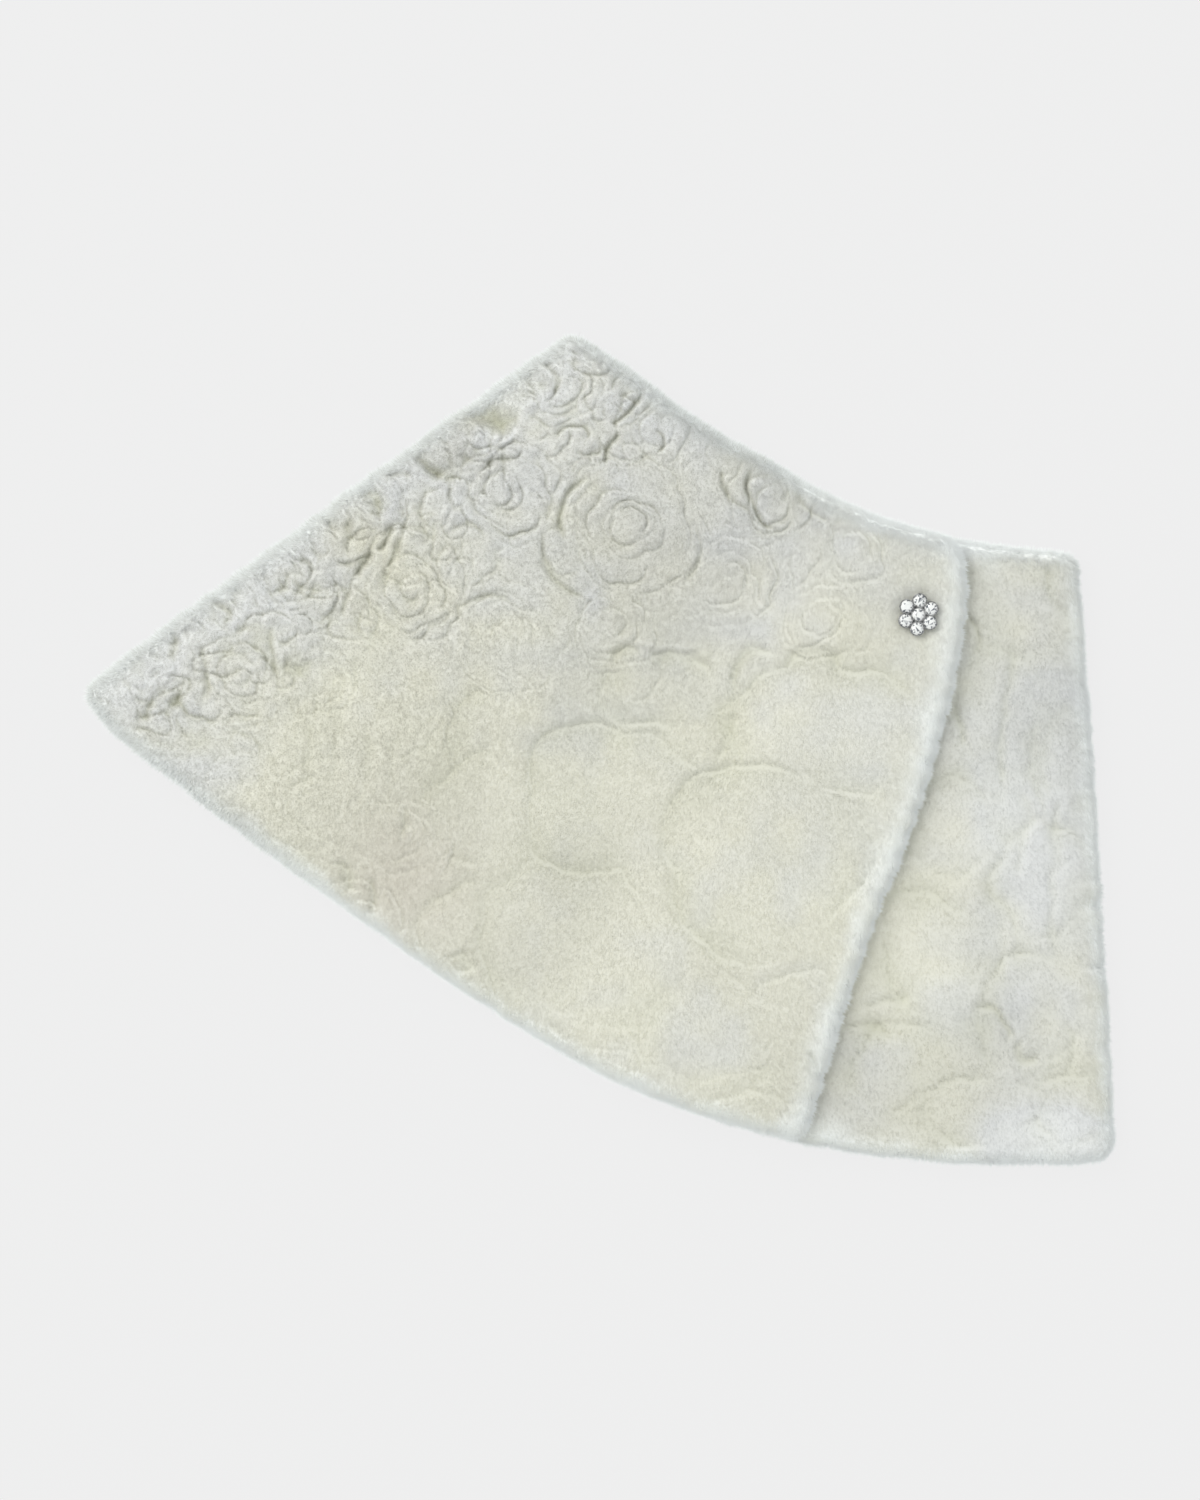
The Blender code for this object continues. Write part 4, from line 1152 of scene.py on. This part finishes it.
# Button
# A cast flower of seven cups in dark silver plate, sewn down through the pile. Each cup holds
# a round cut stone with foil behind it, under four claws pressed over the stone's edge.
STONES = 7
StoneRing = namedtuple("StoneRing", "facets reach rise turn")
STONE_RINGS = (
    StoneRing(8, 0.50, 1.00, 0.0),
    StoneRing(8, 0.78, 0.82, 22.5),
    StoneRing(16, 1.00, 0.60, 0.0),
    StoneRing(16, 1.00, 0.52, 0.0),
    StoneRing(8, 0.50, 0.00, 0.0),
)
STONE_FIT = 1.06  # the stone fills its cup a little more than the plain one
STONE_TURN = 11.0  # each stone is turned this much further than the one before
CLAWS = 4
CLAW_RADIUS = 0.42
CLAW_REACH = 2.95
CLAW_DROP = 1.0  # from the stone's table down to the claw's middle
CLAW_START = 45
CLAW_TURN = 13
CLAW_ROUNDNESS = 2
WEAR_SCALE = 700.0
DARK_SILVER = (0.20, 0.20, 0.20)
WORN_SILVER = (0.62, 0.62, 0.61)
DARK_PAINTED_REFLECTION = (0.16, 0.17, 0.19)
BRIGHT_PAINTED_REFLECTION = (0.96, 0.96, 0.93)


def worn_silver():
    """Dark plate, rubbed lighter in small patches."""
    made = bpy.data.materials.new("dark_silver")
    made.use_nodes = True
    tree = made.node_tree
    shader = tree.nodes["Principled BSDF"]
    wear = node(tree, "ShaderNodeTexNoise")
    wear.inputs["Scale"].default_value = WEAR_SCALE
    place = node(tree, "ShaderNodeTexCoord").outputs["Object"]
    tree.links.new(place, wear.inputs["Vector"])
    share = scaled(tree, wear.outputs["Fac"], 3.0, -1.1)
    tree.links.new(tone_mix(tree, DARK_SILVER, WORN_SILVER, share), shader.inputs["Base Color"])
    tree.links.new(scaled(tree, wear.outputs["Fac"], 0.4, 0.15), shader.inputs["Roughness"])
    shader.inputs["Metallic"].default_value = 0.9
    return made


def foiled_crystal():
    """Clear stone over foil, with painted reflections: each facet's colour is bright or dark, as if it
    mirrored a bright or a dark part of the room.
    """
    made = bpy.data.materials.new("crystal")
    made.use_nodes = True
    tree = made.node_tree
    shader = tree.nodes["Principled BSDF"]
    glint = node(tree, "ShaderNodeAttribute", attribute_name="glint").outputs["Fac"]
    share = scaled(tree, glint, 4.0, -0.7)
    tree.links.new(tone_mix(tree, DARK_PAINTED_REFLECTION, BRIGHT_PAINTED_REFLECTION, share), shader.inputs["Base Color"])
    shader.inputs["Roughness"].default_value = 0.06
    shader.inputs["Metallic"].default_value = 0.25
    return made


def cut_stone(name, low, high, seed):
    """A round stone in the room of its plain one: table, star, crown, girdle and foot."""
    radius, height = STONE_FIT * (high.x - low.x) / 2, high.z - low.z
    middle = (low + high) / 2
    shape = bmesh.new()
    for ring in STONE_RINGS:
        place = Matrix.Translation((middle.x, middle.y, low.z + ring.rise * height))
        place @= Matrix.Rotation(math.radians(ring.turn + STONE_TURN * seed), 4, "Z")
        reach = ring.reach * radius
        bmesh.ops.create_circle(shape, segments=ring.facets, radius=reach, matrix=place)
    bmesh.ops.convex_hull(shape, input=shape.verts)
    bmesh.ops.recalc_face_normals(shape, faces=shape.faces)
    mesh = bpy.data.meshes.new(name)
    shape.to_mesh(mesh)
    shape.free()
    # each facet gets a random share of painted reflection, from dark to bright
    glint = mesh.attributes.new("glint", "FLOAT", "FACE")
    glint.data.foreach_set("value", np.random.default_rng(seed).uniform(0, 1, len(mesh.polygons)))
    return mesh


silver = worn_silver()
crystal = foiled_crystal()
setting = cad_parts["button_setting"]
setting.data.materials.clear()
setting.data.materials.append(silver)
claw_shape = bmesh.new()
for number in range(STONES):
    low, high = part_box(f"stone_{number}")
    stone_mesh = cut_stone(f"cut_stone_{number}", low, high, number)
    stone = add_piece(f"cut_stone_{number}", stone_mesh, crystal)
    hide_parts(f"stone_{number}")
    for claw in range(CLAWS):
        angle = math.radians(CLAW_START + CLAW_TURN * number) + math.tau * claw / CLAWS
        reach = CLAW_REACH * MM * Vector((math.cos(angle), math.sin(angle), 0))
        place = Matrix.Translation((low + high) / 2 + reach)
        place.translation.z = high.z - CLAW_DROP * MM
        bmesh.ops.create_icosphere(
            claw_shape, subdivisions=CLAW_ROUNDNESS, radius=CLAW_RADIUS * MM, matrix=place
        )
claw_mesh = bpy.data.meshes.new("claws")
claw_shape.to_mesh(claw_mesh)
claw_shape.free()
claw_mesh.shade_smooth()
add_piece("claws", claw_mesh, silver)

# Surface, light and view
# A plain pale surface, a large soft light from the upper left and even light from all round,
# seen from straight above.
SURFACE_TONE = (0.863, 0.863, 0.863, 1.0)
SURFACE_GLOW = 0.935
SURFACE_REACH = 4.0
SURFACE_DROP = 0.0003
SKY_TONE = (0.95, 0.98, 1.0, 1.0)
SKY_STRENGTH = 0.82
KEY_TONE = (1.0, 0.985, 0.95)
KEY_POWER = 120.0
KEY_SIDE = 4.0
KEY_PLACE = (-3.0, 2.4, 3.0)
FRAME_HEIGHT = 0.690
LENS = 85.0
SENSOR = 24.0
VIEW_SHIFT = 0.00007

floor_shape = bmesh.new()
bmesh.ops.create_grid(floor_shape, x_segments=1, y_segments=1, size=SURFACE_REACH)
floor_mesh = bpy.data.meshes.new("surface")
floor_shape.to_mesh(floor_mesh)
floor_shape.free()
floor = bpy.data.objects.new("surface", floor_mesh)
floor.location.z = -SURFACE_DROP
bpy.context.scene.collection.objects.link(floor)
floor_finish = bpy.data.materials.new("pale_surface")
floor_finish.use_nodes = True
shader = floor_finish.node_tree.nodes["Principled BSDF"]
shader.inputs["Base Color"].default_value = (0.05, 0.05, 0.05, 1.0)
shader.inputs["Specular IOR Level"].default_value = 0.0
shader.inputs["Roughness"].default_value = 1.0
shader.inputs["Emission Color"].default_value = SURFACE_TONE
shader.inputs["Emission Strength"].default_value = SURFACE_GLOW
floor_mesh.materials.append(floor_finish)

world = bpy.data.worlds.new("even_light")
bpy.context.scene.world = world
world.use_nodes = True
sky = world.node_tree.nodes["Background"]
sky.inputs["Color"].default_value = SKY_TONE
sky.inputs["Strength"].default_value = SKY_STRENGTH

key_data = bpy.data.lights.new("key", "AREA")
key_data.shape = "RECTANGLE"
key_data.size = KEY_SIDE
key_data.size_y = KEY_SIDE
key_data.energy = KEY_POWER
key_data.color = KEY_TONE
key = bpy.data.objects.new("key", key_data)
key.location = KEY_PLACE
key.rotation_mode = "QUATERNION"
key.rotation_quaternion = (-key.location).to_track_quat("-Z", "Y")
bpy.context.scene.collection.objects.link(key)

camera_data = bpy.data.cameras.new("view")
camera_data.sensor_fit = "VERTICAL"
camera_data.sensor_height = SENSOR
camera_data.sensor_width = SENSOR
camera_data.lens = LENS
camera_data.clip_end = 20.0
camera = bpy.data.objects.new("view", camera_data)
camera_height = FRAME_HEIGHT * LENS / SENSOR + cad_box[1].z / 2
camera.location = (VIEW_SHIFT, 0.0, camera_height)
bpy.context.scene.collection.objects.link(camera)
bpy.context.scene.camera = camera
bpy.context.scene.view_settings.view_transform = "Standard"
